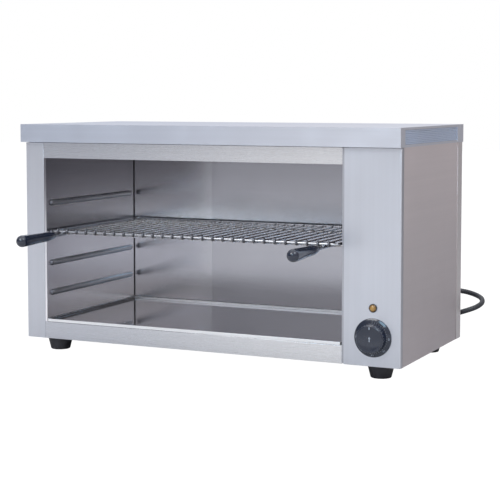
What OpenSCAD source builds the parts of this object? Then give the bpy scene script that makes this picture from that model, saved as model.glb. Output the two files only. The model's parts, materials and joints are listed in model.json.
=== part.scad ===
// Countertop cheese melter: an open-front stainless cabinet with sheathed heating
// elements under a reflector, a wire rack with two grips on pressed runners, a
// shallow drip tray, and a thermostat and a lamp in a compartment at the right.
// Millimetres. X runs to the right, Y to the back and Z up. The origin is the centre
// of the four feet, on the surface that the cabinet stands on.

/* [Casing] */
// Width over the side panels
body_w = 696; // [640:4:800]
// Depth from the front rails to the rear panel
body_d = 320; // [300:2:360]
// Height of the casing between the feet and the top cover
body_h = 346; // [336:2:390]
// Thickness of the stainless sheet
sheet = 1; // [0.8:0.1:1.2]
// Width of the left front stile
stile_w = 36; // [30:1:50]
// Height of the front rail over the opening
header_h = 28; // [26:1:34]
// Height of the front rail under the opening
sill_h = 29.5; // [27:0.5:36]
// Width of the control fascia
fascia_w = 95.5; // [90:0.5:120]
// How far the fascia stands proud of the rails
fascia_proud = 1.5; // [1.2:0.1:3]
// Depth of the folds behind the front rails
return_d = 15; // [13:1:18]
// Depth of the folds that wrap round the front corners
corner_wrap = 8; // [6:1:10]
// Seam between a front corner fold and its side panel
seam = 0.6; // [0.2:0.1:0.8]
// Width of the flanges folded inwards on the side and rear panels
flange_w = 12; // [10:1:14]
// Depth of the rear panel's folds over the side panels
rear_wrap = 25; // [15:1:35]
// Thickness of the rear panel's side folds
wrap_t = 0.8; // [0.6:0.1:1]

/* [Top cover] */
// Height of the top cover
cap_h = 31; // [28:1:40]
// Overhang of the cover at the front
cap_front = 14; // [6:1:16]
// Overhang of the cover at each side
cap_side = 2; // [2:0.5:4]
// Overhang of the cover at the rear
cap_rear = 2; // [1.5:0.5:6]
// Width of the cover's ledge over the edges of the casing
ledge_w = 16; // [15:1:20]
// Band left above and below the vents
vent_band = 4; // [3:0.5:7]
// Band left in front of the vents
vent_front = 22; // [12:1:30]
// Band left behind the vents
vent_rear = 34; // [20:1:50]
// How far a grille reaches behind the edge of its vent
grille_lap = 6; // [4:1:8]
// Thickness of a vent grille
grille_t = 0.8; // [0.6:0.1:1.2]
// Length of one grille slot
grille_slot_l = 18; // [10:1:24]
// Height of one grille slot
grille_slot_h = 3.5; // [2:0.5:4]
// Height from one row of grille slots to the next
grille_row_pitch = 6; // [5:0.5:8]

/* [Cavity] */
// Step from the edge of the opening to the cavity's side walls
liner_step = 4; // [3:0.5:8]
// Gap from the cavity's back wall to the outside of the rear panel
back_gap = 12; // [8:1:20]
// Gap from the reflector to the top of the casing
reflector_gap = 9; // [6:1:12]
// Depth of the reflector's front fold
reflector_fold = 14; // [8:1:18]
// Radius of a pressed runner
runner_r = 5.25; // [4.5:0.25:6]
// Height of the lowest runner over the cavity floor
runner_first = 50; // [40:1:60]
// Height from one runner to the next
runner_pitch = 53; // [46:1:60]
// Runner that carries the rack, counted from below
rack_level = 3; // [2:1:4]
// Distance of a runner's ends from the front and back of the cavity
runner_end = 12; // [8:1:20]
// Thickness of the insulation over the reflector
blanket_t = 26; // [15:1:28]
// Width of the two supports under the cavity floor
support_w = 30; // [20:1:40]

/* [Heating] */
// Radius of a heating element's sheath
element_r = 4; // [3:0.25:4.5]
// Distance between the two legs of one element
leg_gap = 44; // [36:1:50]
// Distance from one element to the next
element_pitch = 95; // [80:1:100]
// Depth of the elements under the reflector
element_drop = 12; // [11:1:20]
// Distance of the element bends from the left wall
element_end = 45; // [40:1:60]
// Thickness of the element hangers
hanger_t = 1.5; // [1:0.5:2]

/* [Rack and tray] */
// Radius of the rack's frame rod
rack_rod_r = 2; // [2:0.25:3]
// Gap from the rack's frame to the cavity's side walls
rack_gap = 4; // [3:0.25:4]
// Radius of the rack's corners
rack_corner = 12; // [8:1:16]
// Distance of the rack's front rod from the front rails
rack_front = 4; // [3:1:8]
// Distance of the rack's rear rod from the cavity's back wall
rack_back = 8; // [5:1:20]
// Radius of a rack wire
wire_r = 1.75; // [1.5:0.25:2]
// Distance from one rack wire to the next
wire_pitch = 18.9; // [14:0.1:24]
// Least distance of a rack wire from the frame's side rod
wire_edge = 15; // [12:1:18]
// Radius of the rack's two stiffening rods
brace_r = 2; // [1.75:0.25:2.5]
// How far welded rods sink into each other
weld = 0.3; // [0.2:0.1:0.5]
// Distance of a handle from the side wall
handle_in = 32; // [28:1:50]
// Radius of a handle shank
shank_r = 3; // [2.5:0.25:3.25]
// Distance from the front rod to the end of a grip
handle_reach = 134; // [115:1:150]
// Length of a grip
grip_l = 104; // [90:1:115]
// Largest radius of a grip, at its round end
grip_r = 10; // [8.5:0.5:12]
// Downward slope of the handles, in degrees
handle_slope = 0.5; // [0:0.5:2]
// Height of the drip tray's rim
tray_h = 5; // [4.5:0.5:8]
// Thickness of the drip tray's sheet
tray_t = 0.8; // [0.6:0.1:1]
// Gap between the drip tray and the cavity's side walls
tray_gap = 2; // [1:0.5:3]

/* [Controls] */
// Distance of the knob and the lamp from the right side of the casing
control_in = 46; // [44:1:52]
// Height of the knob over the casing's lower edge
knob_up = 46; // [42:1:60]
// Height of the lamp over the casing's lower edge
lamp_up = 93; // [88:1:120]
// Radius of the dial behind the knob
dial_r = 31; // [29:0.5:36]
// Thickness of the dial
dial_t = 3.5; // [3:0.5:5]
// Radius of the knob at its base
knob_r = 23.5; // [20:0.5:26]
// Height of the knob
knob_h = 14; // [12:0.5:20]
// Radius of the thermostat's spindle
spindle_r = 2.95; // [2.5:0.05:3.5]
// Running clearance of the spindle in the thermostat
spindle_play = 0.08; // [0.04:0.01:0.1]
// Width of the thermostat
thermostat_w = 40; // [36:1:46]
// Radius of the lamp's lens
lens_r = 6.8; // [6:0.2:8]

/* [Feet] */
// Height of the casing over the surface
foot_h = 23; // [16:1:30]
// Radius of a foot at its top
foot_top_r = 22; // [18:0.5:24]
// Radius of a foot at its bottom
foot_base_r = 17; // [15:0.5:18]
// Distance of the feet from the sides of the casing
foot_in_x = 45; // [40:1:60]
// Distance of the feet from the front and rear of the casing
foot_in_y = 35; // [34:1:60]

/* [Mains cord] */
// Distance of the cord's gland from the right side of the casing
gland_in = 51; // [45:1:60]
// Height of the gland over the casing's lower edge
gland_up = 72; // [60:1:100]
// Radius of the mains cord
cord_r = 4.5; // [4.5:0.5:5]
// Length of the strain relief outside the gland
relief_l = 27; // [20:1:40]

/* [Hidden] */
$fn = 64;

// Colours
steel = [0.76, 0.77, 0.79];
bright = [0.86, 0.87, 0.89];
dull = [0.55, 0.55, 0.57];
black = [0.07, 0.08, 0.10];
rubber = [0.10, 0.10, 0.11];
amber = [0.80, 0.50, 0.12];
white = [0.92, 0.90, 0.85];
brass = [0.80, 0.66, 0.35];

// Planes of the casing
x_side = body_w / 2;
y_front = -body_d / 2;
y_rear = body_d / 2;
z_body = foot_h;
z_top = foot_h + body_h;
z_pan = z_body + sheet;
z_cap = z_top + cap_h;
y_face = y_front - fascia_proud;
y_wrap = y_front + corner_wrap;
y_fold = y_front + return_d;
x_flange = x_side - sheet - flange_w;
y_flange = y_rear - sheet - flange_w;

// Edges of the front opening
x_open_l = -x_side + stile_w;
x_open_r = x_side - fascia_w;
z_open_b = z_body + sill_h;
z_open_t = z_top - header_h;

// Inner faces of the cavity
x_wall_l = x_open_l + liner_step;
x_wall_r = x_open_r - liner_step;
x_mid = (x_wall_l + x_wall_r) / 2;
y_back = y_rear - back_gap;
z_ceiling = z_top - reflector_gap;
runner_count = 4;
runner_y0 = y_front + runner_end;
runner_y1 = y_back - runner_end;

// Top cover
x_cap = x_side + cap_side;
y_cap_f = y_front - cap_front;
y_cap_b = y_rear + cap_rear;
y_vent_f = y_cap_f + vent_front;
y_vent_b = y_cap_b - vent_rear;

// Rack and handles
running_gap = 0.3;
rack_x0 = x_wall_l + rack_gap + rack_rod_r;
rack_x1 = x_wall_r - rack_gap - rack_rod_r;
rack_y0 = y_front + rack_front;
rack_y1 = y_back - rack_back;
rack_z = runner_z(rack_level) + sqrt(pow(runner_r + rack_rod_r + running_gap, 2)
  - pow(rack_gap + rack_rod_r, 2));
wire_z = rack_z - rack_rod_r - wire_r + weld;
brace_z = wire_z - wire_r - brace_r + weld;
wire_count = floor((rack_x1 - rack_x0 - 2 * wire_edge) / wire_pitch) + 1;
shank_z = rack_z - rack_rod_r - shank_r + weld;
brace_inset = 46;
shank_inner_l = brace_inset - brace_r + weld;
grip_bore_l = 60;

// Heating elements
element_z = z_ceiling - element_drop;
bush_r = element_r + 2;
bush_clearance = 0.2;
sheath_clearance = 0.05;
hanger_clearance = 0.3;
hex_r = element_r + 5.8;
x_bend = x_wall_l + element_end;
leg_out = 32;
pin_end_l = 12;
pin_end_r = 1.8;
hanger_in = 68;
hanger_past_mid = 30;
hanger_lip = 4;
x_leg_end = x_wall_r + leg_out;
hanger_xs = [x_wall_l + hanger_in, x_mid + hanger_past_mid];

// Controls
x_control = x_side - control_in;
z_knob = z_body + knob_up;
z_lamp = z_body + lamp_up;
spindle_hole_r = 5;
knob_gap = 0.4;
y_dial = y_face - dial_t;
y_knob = y_dial - knob_gap;
knob_bore_l = 11;
thermostat_d = 34;
thermostat_screw_x = 24;
lamp_hole_r = 5.2;
lamp_body_r = 5;
bulb_r = 3;
bulb_l = 75;
bulb_back = 5.5;
bulb_drop = 28;
bulb_in = 34;
bulb_y = y_back - bulb_back;
bulb_z = z_ceiling - bulb_drop;
x_bulb = x_wall_r - bulb_in;
capillary_r = 1;
capillary_past = 14;
tab_l = 8;
lamp_body_l = 28;
block_in = 90;
block_w = 50;
block_d = 22;
block_y = y_rear - block_in;
block_z = z_pan + sheet;
block_h = 22;
block_poles = [-15, 0, 15];
block_row = [6, 16];
block_well = 8;
wire_core_r = 1.3;
wire_rise = 18;
wire_slack = 60;
wire_reach = 70;
wire_straight = 20;
link_straight = 5;
link_drop = 8;
inner_lead_l = 45;
x_stud = x_control + 25;
y_stud = y_flange - 45;

// Floor supports
support_in = 100;
support_front = 30;
support_back = 20;

// Mains cord: the route's points are chosen by hand
x_gland = x_side - gland_in;
z_gland = z_body + gland_up;
gland_r = 8;
gland_l = 18;
y_relief = y_rear + gland_l;
y_exit = y_relief + relief_l;
route = [[297, 205, 95], [297, 225, 95], [302, 243, 94], [315, 256, 92], [333, 261, 89],
  [351, 256, 85], [364, 243, 81], [369, 225, 76], [364, 207, 71], [351, 194, 66],
  [333, 189, 60], [312, 187, 52], [291, 186, 43], [270, 185, 33], [249, 184, 23],
  [228, 182, 14], [207, 181, 8], [188, 180, 6], [168, 179, 5.7]];
tail_route = [[132, 183.5, 15], [120, 184, 16], [108, 184, 17.6], [96, 184, 18.9],
  [86, 184, 19]];
coil_x = 150;
coil_y = 235;
coil_lift = 1.2;
coil_inner = 42.5;
coil_outer = 60.5;
coil_shoulder = 9;
coil_crown = 18;
tie_t = 1;
tie_w = 6;
plug_x = 86;
plug_y = 184;
plug_z = 19;
plug_r = 18.6;
plug_body_l = 34;
plug_neck_l = 26;
pin_r = 2.4;
pin_l = 19;
pin_gap = 19;

// Fasteners
screw_r = 2;
screw_clearance = 0.25;
screw_head_r = 4;
screw_head_h = 2.4;
foot_screw_r = 2.5;
foot_nut_r = 4.6;
foot_nut_h = 4;
screw_in = 7;
cover_screw_pitch = 100;
base_screw_pitch = 110;
x_screw = x_side - screw_in;

function runner_z(level) = z_open_b + runner_first + (level - 1) * runner_pitch;
function wire_x(i) = x_mid + (i - (wire_count - 1) / 2) * wire_pitch;
function element_y(i) = (i - 1) * element_pitch;
function leg_ys() = [for (i = [0:2], s = [-1, 1]) element_y(i) + s * leg_gap / 2];
function handle_x(s) = s < 0 ? x_wall_l + handle_in : x_wall_r - handle_in;
function foot_at(sx, sy) = [sx * (x_side - foot_in_x), sy * (y_rear - foot_in_y), 0];

// Places of the screws, shared by the screws and their holes
cover_screw_at = [for (s = [-1, 1], k = [-1 : 1]) [s * x_screw, k * cover_screw_pitch]];
rear_screw_at = [for (s = [-1, 1], k = [0.1, 0.5, 0.9]) [s * x_screw, z_body + k * body_h]];
base_screw_at = [for (s = [-1, 1], k = [-1 : 1]) [s * x_screw, k * base_screw_pitch]];

// A block between two planes along each axis
module slab(x0, x1, y0, y1, z0, z1) {
  translate([x0, y0, z0]) cube([x1 - x0, y1 - y0, z1 - z0]);
}

// Round rods along one axis
module rod_x(x0, x1, y, z, r) {
  translate([x0, y, z]) rotate([0, 90, 0]) cylinder(h = x1 - x0, r = r);
}
module rod_y(x, y0, y1, z, r) {
  translate([x, y0, z]) rotate([-90, 0, 0]) cylinder(h = y1 - y0, r = r);
}
module rod_z(x, y, z0, z1, r) {
  translate([x, y, z0]) cylinder(h = z1 - z0, r = r);
}

// A tube with flat sides swept along a list of points; up is a direction that the
// route never takes
module tube(points, r, sides, up) {
  n = len(points);
  rings = [for (i = [0 : n - 1]) tube_ring(points, i, r, sides, up)];
  vertices = [for (ring = rings, p = ring) p];
  walls = [for (i = [0 : n - 2], k = [0 : sides - 1])
    [i * sides + k, (i + 1) * sides + k, (i + 1) * sides + (k + 1) % sides,
      i * sides + (k + 1) % sides]];
  first = [for (k = [0 : sides - 1]) k];
  last = [for (k = [0 : sides - 1]) n * sides - 1 - k];
  polyhedron(points = vertices, faces = concat([first], walls, [last]), convexity = 10);
}

// One ring of the tube, square to the route at point i
function tube_ring(points, i, r, sides, up) =
  let (ahead = points[min(i + 1, len(points) - 1)] - points[max(i - 1, 0)],
    t = ahead / norm(ahead),
    side = cross(t, up),
    u = side / norm(side),
    v = cross(t, u))
  [for (k = [0 : sides - 1])
    points[i] + r * (cos(k * 360 / sides) * u - sin(k * 360 / sides) * v)];

// A thin wire in a smooth curve through a list of points
module wire_through(points, r, up) {
  tube(eased(points, 5), r, 8, up);
}

// The points with a smooth curve between them; the first and the last stretch stay
// straight, so a wire meets its terminal squarely
function eased(p, steps) = concat(
  [p[0]],
  [for (i = [1 : len(p) - 3], k = [0 : steps - 1])
    let (a = p[i - 1], b = p[i], c = p[i + 1], d = p[i + 2], t = k / steps)
    b + t * (c - a) / 2 + t * t * (2 * a - 5 * b + 4 * c - d) / 2
      + t * t * t * (3 * b - a - 3 * c + d) / 2],
  [p[len(p) - 2], p[len(p) - 1]]);

// A hexagon nut or flange along X
module hex_x(x0, x1, y, z, r) {
  translate([x0, y, z]) rotate([0, 90, 0]) cylinder(h = x1 - x0, r = r, $fn = 6);
}

// A pan-head screw that points along -Z from the origin, with its head above it
module screw_down(shank_l) {
  cylinder(h = screw_head_h, r1 = screw_head_r, r2 = screw_head_r * 0.7);
  translate([0, 0, -shank_l]) cylinder(h = shank_l, r = screw_r);
}

// Both sides of the cabinet, from the right-hand shape
module both_sides() {
  children();
  mirror([1, 0, 0]) children();
}

// ---- Top cover ----

module top_cover() {
  color(steel)
  difference() {
    slab(-x_cap, x_cap, y_cap_f, y_cap_b, z_top, z_cap);
    slab(-x_cap + sheet, x_cap - sheet, y_cap_f + sheet, y_cap_b - sheet,
      z_top + sheet, z_cap - sheet);
    slab(-x_side + ledge_w, x_side - ledge_w, y_front + ledge_w, y_rear - ledge_w,
      z_top - sheet, z_top + 2 * sheet);
    both_sides()
      slab(x_cap - 2 * sheet, x_cap + sheet, y_vent_f, y_vent_b,
        z_top + vent_band, z_cap - vent_band);
    for (p = cover_screw_at)
      rod_z(p[0], p[1], z_top - sheet, z_top + 2 * sheet, screw_r + screw_clearance);
  }
}

module vent_grille() {
  y0 = y_vent_f - grille_lap;
  y1 = y_vent_b + grille_lap;
  rows = floor((cap_h - 2 * vent_band - grille_slot_h) / grille_row_pitch) + 1;
  slots = floor((y_vent_b - y_vent_f) / (grille_slot_l + 5));
  slot_pitch = (y_vent_b - y_vent_f) / slots;
  z_mid = (z_top + z_cap) / 2;
  difference() {
    slab(x_cap - sheet - grille_t, x_cap - sheet, y0, y1, z_top + sheet, z_cap - sheet);
    for (row = [0 : rows - 1], k = [0 : slots - 1]) {
      z = z_mid + (row - (rows - 1) / 2) * grille_row_pitch;
      y = y_vent_f + (k + 0.5) * slot_pitch;
      slab(x_cap - 2 * sheet - grille_t, x_cap, y - grille_slot_l / 2,
        y + grille_slot_l / 2, z - grille_slot_h / 2, z + grille_slot_h / 2);
    }
  }
}
module vent_grille_right() { color(dull) vent_grille(); }
module vent_grille_left() { color(dull) mirror([1, 0, 0]) vent_grille(); }

// ---- Casing ----

module side_panel() {
  y0 = y_wrap + seam;
  y1 = y_rear - sheet;
  difference() {
    union() {
      slab(x_side - sheet, x_side, y0, y1, z_body, z_top);
      slab(x_flange, x_side, y0, y1, z_top - sheet, z_top);
      slab(x_flange, x_side, y0, y1, z_body, z_body + sheet);
      slab(x_flange, x_side, y1 - sheet, y1, z_body, z_top);
    }
    for (p = cover_screw_at) if (p[0] > 0)
      rod_z(p[0], p[1], z_top - 2 * sheet, z_top + sheet, screw_r + screw_clearance);
    for (p = base_screw_at) if (p[0] > 0)
      rod_z(p[0], p[1], z_body - sheet, z_body + 2 * sheet, screw_r + screw_clearance);
    for (p = rear_screw_at) if (p[0] > 0)
      rod_y(p[0], y1 - 2 * sheet, y1 + sheet, p[1], screw_r + screw_clearance);
  }
}
module right_side_panel() { color(steel) side_panel(); }
module left_side_panel() { color(steel) mirror([1, 0, 0]) side_panel(); }

// Rows of cooling slots across a rear area
module rear_slots(x0, x1, z0, count) {
  slot_h = 4;
  slot_pitch = 12;
  for (k = [0 : count - 1])
    slab(x0, x1, y_rear - 2 * sheet, y_rear + sheet,
      z0 + k * slot_pitch, z0 + k * slot_pitch + slot_h);
}

module rear_panel() {
  x_in = x_flange - seam;
  color(steel)
  difference() {
    union() {
      slab(-x_side, x_side, y_rear - sheet, y_rear, z_body, z_top);
      both_sides()
        slab(x_side, x_side + wrap_t, y_rear - rear_wrap, y_rear, z_body, z_top);
      slab(-x_in, x_in, y_flange, y_rear, z_top - sheet, z_top);
      slab(-x_in, x_in, y_flange, y_rear, z_body, z_body + sheet);
    }
    rear_slots(x_control - 32, x_control + 32, z_gland + 40, 10);
    for (k = [-1, 0, 1])
      rear_slots(x_mid + k * 150 - 50, x_mid + k * 150 + 50, z_top - 80, 5);
    rod_y(x_gland, y_rear - 2 * sheet, y_rear + sheet, z_gland, gland_r + 0.2);
    for (p = rear_screw_at)
      rod_y(p[0], y_rear - 2 * sheet, y_rear + sheet, p[1], screw_r + screw_clearance);
  }
}

module base_pan() {
  lip_h = 15;
  x_in = x_side - sheet;
  y1 = y_rear - 2 * sheet;
  color(dull)
  difference() {
    union() {
      slab(-x_in, x_in, y_front + sheet, y1, z_pan, z_pan + sheet);
      both_sides()
        slab(x_in - sheet, x_in, y_wrap + seam, y1, z_pan, z_pan + lip_h);
    }
    for (sx = [-1, 1], sy = [-1, 1])
      translate(foot_at(sx, sy))
        rod_z(0, 0, z_body, z_pan + 2 * sheet, foot_screw_r + screw_clearance);
    for (p = base_screw_at)
      rod_z(p[0], p[1], z_body, z_pan + 2 * sheet, screw_r + screw_clearance);
    for (k = [0 : 5])
      slab(x_control - 25, x_control + 25, -60 + k * 12, -56 + k * 12,
        z_body, z_pan + 2 * sheet);
    rod_z(x_stud, y_stud, z_body, z_pan + 2 * sheet, foot_screw_r + screw_clearance);
  }
}

module left_stile() {
  color(steel) {
    slab(-x_side, x_open_l, y_front, y_front + sheet, z_body, z_top);
    slab(-x_side, -x_side + sheet, y_front, y_wrap, z_body, z_top);
    slab(x_open_l - sheet, x_open_l, y_front, y_fold, z_pan + sheet, z_top);
    slab(-x_side, x_open_l - sheet, y_front, y_wrap, z_top - sheet, z_top);
    slab(-x_side, x_open_l, y_front, y_wrap, z_body, z_pan);
  }
}

module header_rail() {
  color(steel) {
    slab(x_open_l, x_open_r, y_front, y_front + sheet, z_open_t, z_top);
    slab(x_wall_l, x_wall_r, y_front, y_fold, z_open_t, z_open_t + sheet);
    slab(x_open_l, x_open_r, y_front, y_wrap, z_top - sheet, z_top);
  }
}

module sill_rail() {
  color(steel) {
    slab(x_open_l, x_open_r, y_front, y_front + sheet, z_body, z_open_b);
    slab(x_open_l, x_open_r, y_front, y_fold, z_open_b - sheet, z_open_b);
    slab(x_open_l, x_open_r, y_front, y_wrap, z_body, z_pan);
  }
}

module control_fascia() {
  y_in = y_face + sheet;
  color(steel)
  difference() {
    union() {
      slab(x_open_r, x_side, y_face, y_in, z_body, z_top);
      slab(x_open_r, x_open_r + sheet, y_face, y_fold, z_pan + sheet, z_top);
      slab(x_side - sheet, x_side, y_face, y_wrap, z_body, z_top);
      slab(x_open_r, x_side, y_face, y_wrap, z_top - sheet, z_top);
      slab(x_open_r, x_side, y_face, y_wrap, z_body, z_pan);
    }
    rod_y(x_control, y_face - sheet, y_in + sheet, z_knob, spindle_hole_r);
    rod_y(x_control, y_face - sheet, y_in + sheet, z_lamp, lamp_hole_r);
    for (s = [-1, 1])
      rod_y(x_control + s * thermostat_screw_x, y_face - sheet, y_in + sheet, z_knob,
        screw_r + screw_clearance);
  }
}

// ---- Cavity ----

// The pressed runners of one side wall, as round-ended rods of a given radius
module runners(x, r) {
  l = runner_y1 - runner_y0 - 2 * (runner_r - r);
  for (level = [1 : runner_count])
    translate([x, runner_y0 + runner_r - r, runner_z(level)]) rotate([-90, 0, 0])
      rotate_extrude()
        polygon(concat([[0, 0]],
          [for (k = [1 : 4]) [r * sin(k * 22.5), r * (1 - cos(k * 22.5))]],
          [for (k = [4 : -1 : 1]) [r * sin(k * 22.5), l - r * (1 - cos(k * 22.5))]],
          [[0, l]]));
}

// A side wall with its inner face at x, its outside towards side (-1 or 1)
module cavity_wall(x, side) {
  x_out = x + side * sheet;
  difference() {
    union() {
      slab(min(x, x_out), max(x, x_out), y_front + sheet, y_back, z_open_b, z_ceiling);
      slab(min(x, x + side * liner_step), max(x, x + side * liner_step),
        y_front + sheet, y_front + 2 * sheet, z_open_b, z_ceiling);
      difference() {
        runners(x, runner_r);
        slab(min(x_out, x_out + side * 20), max(x_out, x_out + side * 20),
          y_front, y_rear, z_body, z_top);
      }
    }
    runners(x, runner_r - sheet);
  }
}

module cavity_wall_left() { color(steel) cavity_wall(x_wall_l, -1); }

module cavity_wall_right() {
  color(steel)
  difference() {
    cavity_wall(x_wall_r, 1);
    for (y = leg_ys())
      rod_x(x_wall_r - sheet, x_wall_r + 2 * sheet, y, element_z, bush_r + bush_clearance);
    rod_x(x_wall_r - sheet, x_wall_r + 2 * sheet, bulb_y, bulb_z, capillary_r + 1);
  }
}

module cavity_back() {
  color(steel)
    slab(x_wall_l - sheet, x_wall_r + sheet, y_back, y_back + sheet, z_open_b, z_ceiling);
}

module cavity_floor() {
  color(steel)
    slab(x_wall_l - sheet, x_wall_r + sheet, y_fold, y_back + sheet,
      z_open_b - sheet, z_open_b);
}

// Two folded channels that carry the cavity floor on the base pan
module floor_supports() {
  y0 = y_front + support_front;
  y1 = y_back - support_back;
  z0 = z_pan + sheet;
  z1 = z_open_b - sheet;
  color(dull)
  for (x = [x_wall_l + support_in, x_wall_r - support_in]) {
    slab(x, x + sheet, y0, y1, z0, z1);
    slab(x, x + support_w, y0, y1, z1 - sheet, z1);
    slab(x - support_w / 2, x + sheet, y0, y1, z0, z0 + sheet);
  }
}

module reflector() {
  color(bright) {
    slab(x_wall_l - sheet, x_wall_r + sheet, y_fold, y_back + sheet,
      z_ceiling, z_ceiling + sheet);
    slab(x_wall_l, x_wall_r, y_fold, y_fold + sheet,
      z_ceiling - reflector_fold, z_ceiling + sheet);
  }
}

module insulation_blanket() {
  color(white)
    slab(x_wall_l + 3, x_wall_r - 3, y_fold + 5, y_back - 4,
      z_ceiling + sheet, z_ceiling + sheet + blanket_t);
}

// ---- Heating ----

// A hairpin element: two legs joined by a half ring, with a terminal pin on each leg
module heating_element(i) {
  y = element_y(i);
  color(dull) {
    translate([x_bend, y, element_z]) rotate([0, 0, 90])
      rotate_extrude(angle = 180) translate([leg_gap / 2, 0]) circle(r = element_r);
    for (s = [-1, 1]) {
      rod_x(x_bend, x_leg_end, y + s * leg_gap / 2, element_z, element_r);
      rod_x(x_leg_end, x_leg_end + pin_end_l, y + s * leg_gap / 2, element_z, pin_end_r);
    }
  }
}
module heating_element_front() { heating_element(0); }
module heating_element_middle() { heating_element(1); }
module heating_element_rear() { heating_element(2); }

// Bushes that clamp the legs in the right wall between a flange and a nut
module element_fittings() {
  color(brass)
  for (y = leg_ys())
    difference() {
      union() {
        rod_x(x_wall_r - 4, x_wall_r + 13, y, element_z, bush_r);
        hex_x(x_wall_r - 4, x_wall_r, y, element_z, hex_r);
        hex_x(x_wall_r + sheet, x_wall_r + sheet + 6, y, element_z, hex_r);
      }
      rod_x(x_wall_r - 5, x_wall_r + 14, y, element_z, element_r + sheath_clearance);
    }
}

module element_hangers() {
  y_out = element_pitch + leg_gap / 2 + element_r + 5;
  color(dull)
  for (x = hanger_xs)
    difference() {
      union() {
        slab(x, x + hanger_t, -y_out, y_out, element_z - element_r - hanger_lip, z_ceiling);
        slab(x, x + 14, -y_out, y_out, z_ceiling - hanger_t, z_ceiling);
      }
      for (y = leg_ys())
        rod_x(x - 1, x + hanger_t + 1, y, element_z, element_r + hanger_clearance);
    }
}

// ---- Rack ----

module rack_frame() {
  color(bright)
  translate([0, 0, rack_z]) {
    rod_x(rack_x0 + rack_corner, rack_x1 - rack_corner, rack_y0, 0, rack_rod_r);
    rod_x(rack_x0 + rack_corner, rack_x1 - rack_corner, rack_y1, 0, rack_rod_r);
    rod_y(rack_x0, rack_y0 + rack_corner, rack_y1 - rack_corner, 0, rack_rod_r);
    rod_y(rack_x1, rack_y0 + rack_corner, rack_y1 - rack_corner, 0, rack_rod_r);
    for (c = [[rack_x1 - rack_corner, rack_y1 - rack_corner, 0],
              [rack_x0 + rack_corner, rack_y1 - rack_corner, 90],
              [rack_x0 + rack_corner, rack_y0 + rack_corner, 180],
              [rack_x1 - rack_corner, rack_y0 + rack_corner, 270]])
      translate([c[0], c[1], 0]) rotate([0, 0, c[2]])
        rotate_extrude(angle = 90) translate([rack_corner, 0]) circle(r = rack_rod_r);
  }
}

// The wires run from front to back under the frame, on two stiffening rods
module rack_wires() {
  color(bright) {
    for (i = [0 : wire_count - 1])
      rod_y(wire_x(i), rack_y0 - rack_rod_r, rack_y1 + rack_rod_r, wire_z, wire_r);
    for (y = [rack_y0 + brace_inset, rack_y1 - brace_inset])
      rod_x(wire_x(0) - 6, wire_x(wire_count - 1) + 6, y, brace_z, brace_r);
  }
}

// Places a handle with +Z along its axis, towards the user
module on_handle(s) {
  translate([handle_x(s), rack_y0, shank_z])
    rotate([90 + handle_slope, 0, 0]) children();
}

module handle_shanks() {
  color(bright)
  for (s = [-1, 1])
    on_handle(s)
      translate([0, 0, -shank_inner_l])
        cylinder(h = shank_inner_l + handle_reach - grip_l + grip_bore_l, r = shank_r);
}

// A turned grip: a short cone, a slim waist and a round end
module grip() {
  neck = grip_r * 0.45;
  waist = grip_r * 0.8;
  end_z = grip_l - grip_r;
  color(black)
  translate([0, 0, handle_reach - grip_l])
  difference() {
    rotate_extrude()
      polygon(concat([[0, 0], [neck, 0], [neck + 1, 1]],
        [for (k = [0 : 8]) [neck + 1.4 + (waist - neck - 1.4) * sin(k * 11.25),
          4 + k * 2.5]],
        [for (k = [1 : 8]) [waist + (grip_r - waist) * (1 - cos(k * 22.5)) / 2,
          24 + (end_z - 24) * k / 8]],
        [for (k = [1 : 12]) [grip_r * cos(k * 7.5), end_z + grip_r * sin(k * 7.5)]]));
    translate([0, 0, -1]) cylinder(h = grip_bore_l + 1, r = shank_r + 0.02);
  }
}
module left_grip() { on_handle(-1) grip(); }
module right_grip() { on_handle(1) grip(); }

// ---- Drip tray ----

module drip_tray() {
  x0 = x_wall_l + tray_gap;
  x1 = x_wall_r - tray_gap;
  y0 = y_front - 0.5;
  y1 = y_back - 3;
  z0 = z_open_b + running_gap;
  z1 = z0 + tray_h;
  color(bright)
  difference() {
    slab(x0, x1, y0, y1, z0, z1);
    slab(x0 + tray_t, x1 - tray_t, y0 + tray_t, y1 - tray_t, z0 + tray_t, z1 + 1);
  }
}

// ---- Controls ----

module thermostat_body() {
  y0 = y_face + sheet;
  z0 = z_knob - thermostat_w / 2;
  color(white)
  difference() {
    union() {
      slab(x_control - 28, x_control + 28, y0, y0 + 1.5, z_knob - 10, z_knob + 10);
      slab(x_control - thermostat_w / 2, x_control + thermostat_w / 2,
        y0 + 1.5, y0 + thermostat_d, z0, z0 + thermostat_w);
      for (k = [-1, 0, 1])
        slab(x_control + k * 11 - 3, x_control + k * 11 + 3, y0 + thermostat_d,
          y0 + thermostat_d + tab_l, z_knob - 0.5, z_knob + 0.5);
    }
    rod_y(x_control, y0 - 1, y0 + 20, z_knob, spindle_r + spindle_play);
    for (s = [-1, 1])
      rod_y(x_control + s * thermostat_screw_x, y0 - 1, y0 + 12, z_knob, screw_r + 0.02);
  }
}

module thermostat_spindle() {
  color(dull)
    rod_y(x_control, y_knob - knob_bore_l + 0.2, y_face + sheet + 18, z_knob, spindle_r);
}

module control_knob() {
  color(black)
  translate([x_control, y_knob, z_knob]) rotate([90, 0, 0])
  difference() {
    rotate_extrude()
      polygon([[0, 0], [knob_r, 0], [knob_r, 1.5], [knob_r - 0.6, 3],
        [knob_r - 1.2, knob_h - 2.5], [knob_r - 1.7, knob_h - 1.2],
        [knob_r - 2.6, knob_h - 0.4], [knob_r - 4, knob_h], [knob_r - 7, knob_h - 0.3],
        [0, knob_h - 0.6]]);
    translate([0, 0, -1]) cylinder(h = knob_bore_l + 1, r = spindle_r + 0.02);
  }
}

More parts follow.
